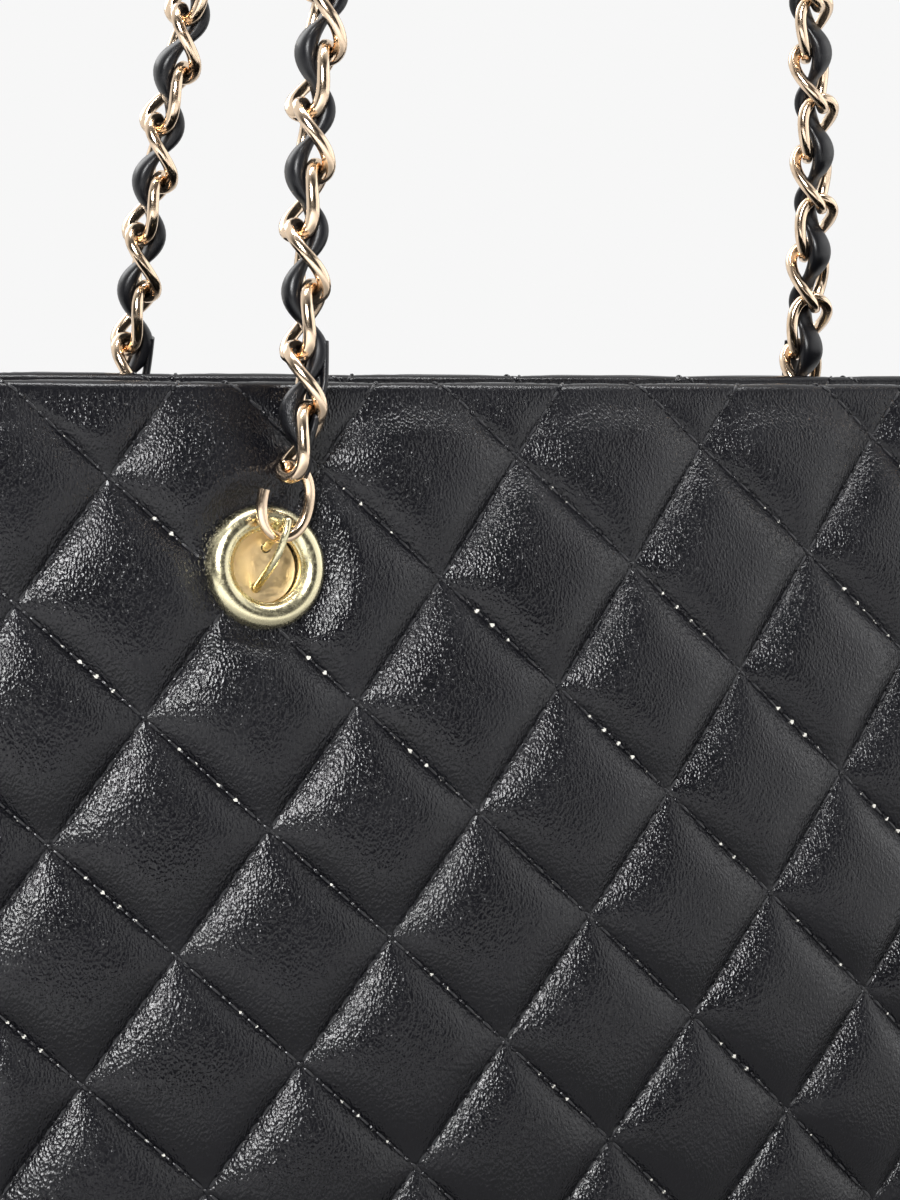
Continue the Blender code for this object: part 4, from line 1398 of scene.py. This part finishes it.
def build_lamp(name, azimuth, elevation, distance, width, height, power):
    """A soft lamp that faces the bag, from its angles in degrees."""
    turn, rise = math.radians(azimuth), math.radians(elevation)
    out = Vector((math.sin(turn) * math.cos(rise), -math.cos(turn) * math.cos(rise), math.sin(rise)))
    data = bpy.data.lights.new(name, "AREA")
    data.shape = "RECTANGLE"
    data.size, data.size_y, data.energy = width, height, power
    lamp = add_object(name, data)
    lamp.location = LAMP_TARGET + out * distance
    lamp.visible_camera = False
    lamp.rotation_mode = "QUATERNION"
    lamp.rotation_quaternion = (LAMP_TARGET - (LAMP_TARGET + out * distance)).to_track_quat("-Z", "Y")


def mirrored_rays(tree, path):
    """1 for a ray that a mirror or clear surface sent on, and 0 for another."""
    return add_node(tree, "Math", "Value", {
        0: path["Is Glossy Ray"], 1: path["Is Transmission Ray"],
    }, operation="ADD")


def build_floor():
    """A pale floor with painted shade near the bag, where its colour is darker, that glows towards
    the camera.
    """
    look = bpy.context.scene.tote_finish
    made, tree, place = start_material("pale studio floor")
    path = add_node(tree, "LightPath", None)
    dust = add_node(tree, "TexNoise", "Fac", {"Vector": place, "Scale": 1 / DUST})
    gloss = add_node(tree, "MapRange", "Result", {"Value": dust, "To Min": 0.7, "To Max": 0.8})
    away = add_node(tree, "VectorMath", "Value", {0: place}, operation="LENGTH")
    # Painted shade: the floor's colour darkens towards the bag.
    painted_shade_fade = add_node(tree, "MapRange", "Result", {
        "Value": away, "From Min": SHADE_FADE_FROM, "From Max": SHADE_FADE_TO,
    }, interpolation_type="SMOOTHSTEP")
    paper = add_node(tree, "Mix", "Result", {
        "Factor": painted_shade_fade, "A": look.floor_painted_shade, "B": look.floor_cloth,
    }, data_type="RGBA")
    cloth = add_node(tree, "BsdfPrincipled", "BSDF", {"Base Color": paper, "Roughness": gloss})
    glow = add_node(tree, "Emission", "Emission", {"Color": look.floor, "Strength": 1.0})
    backdrop = add_node(tree, "MapRange", "Result", {
        "Value": add_node(tree, "SeparateXYZ", "Y", {"Vector": place}),
        "From Min": -0.1, "From Max": 0.5,
    }, interpolation_type="SMOOTHSTEP")
    shown = add_node(tree, "Math", "Value", {
        0: mirrored_rays(tree, path), 1: backdrop, 2: path["Is Camera Ray"],
    }, operation="MULTIPLY_ADD")
    share = add_node(tree, "Math", "Value", {0: shown, 1: FLOOR_GLOW}, operation="MULTIPLY")
    both = add_node(tree, "MixShader", "Shader", {0: share, 1: cloth, 2: glow})
    add_node(tree, "OutputMaterial", None, {"Surface": both})
    shape = bmesh.new()
    bmesh.ops.create_grid(shape, x_segments=8, y_segments=8, size=FLOOR_HALF)
    mesh = mesh_from(shape, "floor")
    mesh.materials.append(made)
    add_object("floor", mesh)


def build_stage():
    """The floor, a pale room and soft lamps round the bag."""
    build_floor()
    pale = bpy.context.scene.tote_finish.floor
    world = bpy.data.worlds.new("pale room")
    bpy.context.scene.world = world
    tree = start_tree(world)
    path = add_node(tree, "LightPath", None)
    towards = add_node(tree, "TexCoord", "Object")
    side = add_node(tree, "VectorMath", "Value", {
        0: towards, 1: BACKDROP_SIDE,
    }, operation="DOT_PRODUCT")
    backdrop = add_node(tree, "MapRange", "Result", {
        "Value": side, "From Min": -0.3, "From Max": 0.35, "To Min": 0.04,
    }, interpolation_type="SMOOTHSTEP")
    seen, room, reflected = (
        add_node(tree, "Background", "Background", {"Color": pale, "Strength": strength})
        for strength in (1.0, ROOM_GLOW, backdrop)
    )
    around = add_node(tree, "MixShader", "Shader", {
        0: mirrored_rays(tree, path), 1: room, 2: reflected,
    })
    both = add_node(tree, "MixShader", "Shader", {0: path["Is Camera Ray"], 1: around, 2: seen})
    add_node(tree, "OutputWorld", None, {"Surface": both})
    for lamp in LAMPS:
        build_lamp(*lamp)
    bpy.context.scene.view_settings.view_transform = "Standard"


class TOTE_OT_finishes(bpy.types.Operator):
    """Make the materials that the pieces are finished in"""

    bl_idname = "tote.finishes"
    bl_label = "Materials"

    def execute(self, context):
        FINISHES.update(make_finishes())
        return {"FINISHED"}


class TOTE_OT_camera(bpy.types.Operator):
    """Set up the camera at the photograph's viewing angle"""

    bl_idname = "tote.camera"
    bl_label = "Camera"

    def execute(self, context):
        build_camera()
        return {"FINISHED"}


class TOTE_OT_walls(bpy.types.Operator):
    """Make the four quilted walls with their foam and stitches"""

    bl_idname = "tote.walls"
    bl_label = "Quilted walls"

    def execute(self, context):
        for name in ("front", "back", "left", "right"):
            build_wall(name, f"{name}_{'panel' if name in PANELS else 'gusset'}", f"{name}_wadding")
        return {"FINISHED"}


class TOTE_OT_inside(bpy.types.Operator):
    """Make the base, the facing and the lining"""

    bl_idname = "tote.inside"
    bl_label = "Base and lining"

    def execute(self, context):
        build_base()
        build_facing()
        build_lining()
        refinish("base_board", "board")
        return {"FINISHED"}


class TOTE_OT_eyelets(bpy.types.Operator):
    """Make the eyelets with their washers, plates and small rings"""

    bl_idname = "tote.eyelets"
    bl_label = "Eyelets"

    def execute(self, context):
        for face_name, face in FACES.items():
            for side_name, side in SIDES.items():
                name = f"{face_name}_{side_name}"
                build_eyelet(name, face, side)
                build_plate(name, face, side)
                build_ring(name, face, side)
        return {"FINISHED"}


class TOTE_OT_snap(bpy.types.Operator):
    """Make the magnetic snap inside the mouth"""

    bl_idname = "tote.snap"
    bl_label = "Snap"

    def execute(self, context):
        build_snap()
        return {"FINISHED"}


class TOTE_OT_straps(bpy.types.Operator):
    """Make the chains, their end links and their laces"""

    bl_idname = "tote.straps"
    bl_label = "Straps"

    def execute(self, context):
        for face_name, face in FACES.items():
            build_strap(face_name, face)
        return {"FINISHED"}


class TOTE_OT_stage(bpy.types.Operator):
    """Make the pale floor, the room and the lamps"""

    bl_idname = "tote.stage"
    bl_label = "Stage"

    def execute(self, context):
        build_stage()
        return {"FINISHED"}


STEPS = (
    TOTE_OT_finishes, TOTE_OT_camera, TOTE_OT_walls, TOTE_OT_inside,
    TOTE_OT_eyelets, TOTE_OT_snap, TOTE_OT_straps, TOTE_OT_stage,
)


class TOTE_PT_panel(bpy.types.Panel):
    """Lists the steps and the sizes of the tote bag"""

    bl_label = "Tote bag"
    bl_idname = "TOTE_PT_panel"
    bl_space_type = "VIEW_3D"
    bl_region_type = "UI"
    bl_category = "Tote bag"

    def draw(self, context):
        for step in STEPS:
            self.layout.operator(step.bl_idname)
        for name, group in GROUPS.items():
            box = self.layout.box()
            box.label(text=group.__doc__)
            values = getattr(context.scene, name)
            for field in group.__annotations__:
                box.prop(values, field)


def register():
    for group in GROUPS.values():
        bpy.utils.register_class(group)
    for name, group in GROUPS.items():
        setattr(bpy.types.Scene, name, PointerProperty(type=group))
    for made in (*STEPS, TOTE_PT_panel):
        bpy.utils.register_class(made)


def unregister():
    for made in (TOTE_PT_panel, *reversed(STEPS)):
        bpy.utils.unregister_class(made)
    for name in GROUPS:
        delattr(bpy.types.Scene, name)
    for group in reversed(GROUPS.values()):
        bpy.utils.unregister_class(group)


def main():
    register()
    bpy.ops.tote.finishes()
    bpy.ops.tote.camera()
    bpy.ops.tote.walls()
    bpy.ops.tote.inside()
    bpy.ops.tote.eyelets()
    bpy.ops.tote.snap()
    bpy.ops.tote.straps()
    bpy.ops.tote.stage()


if __name__ == "__main__":
    main()
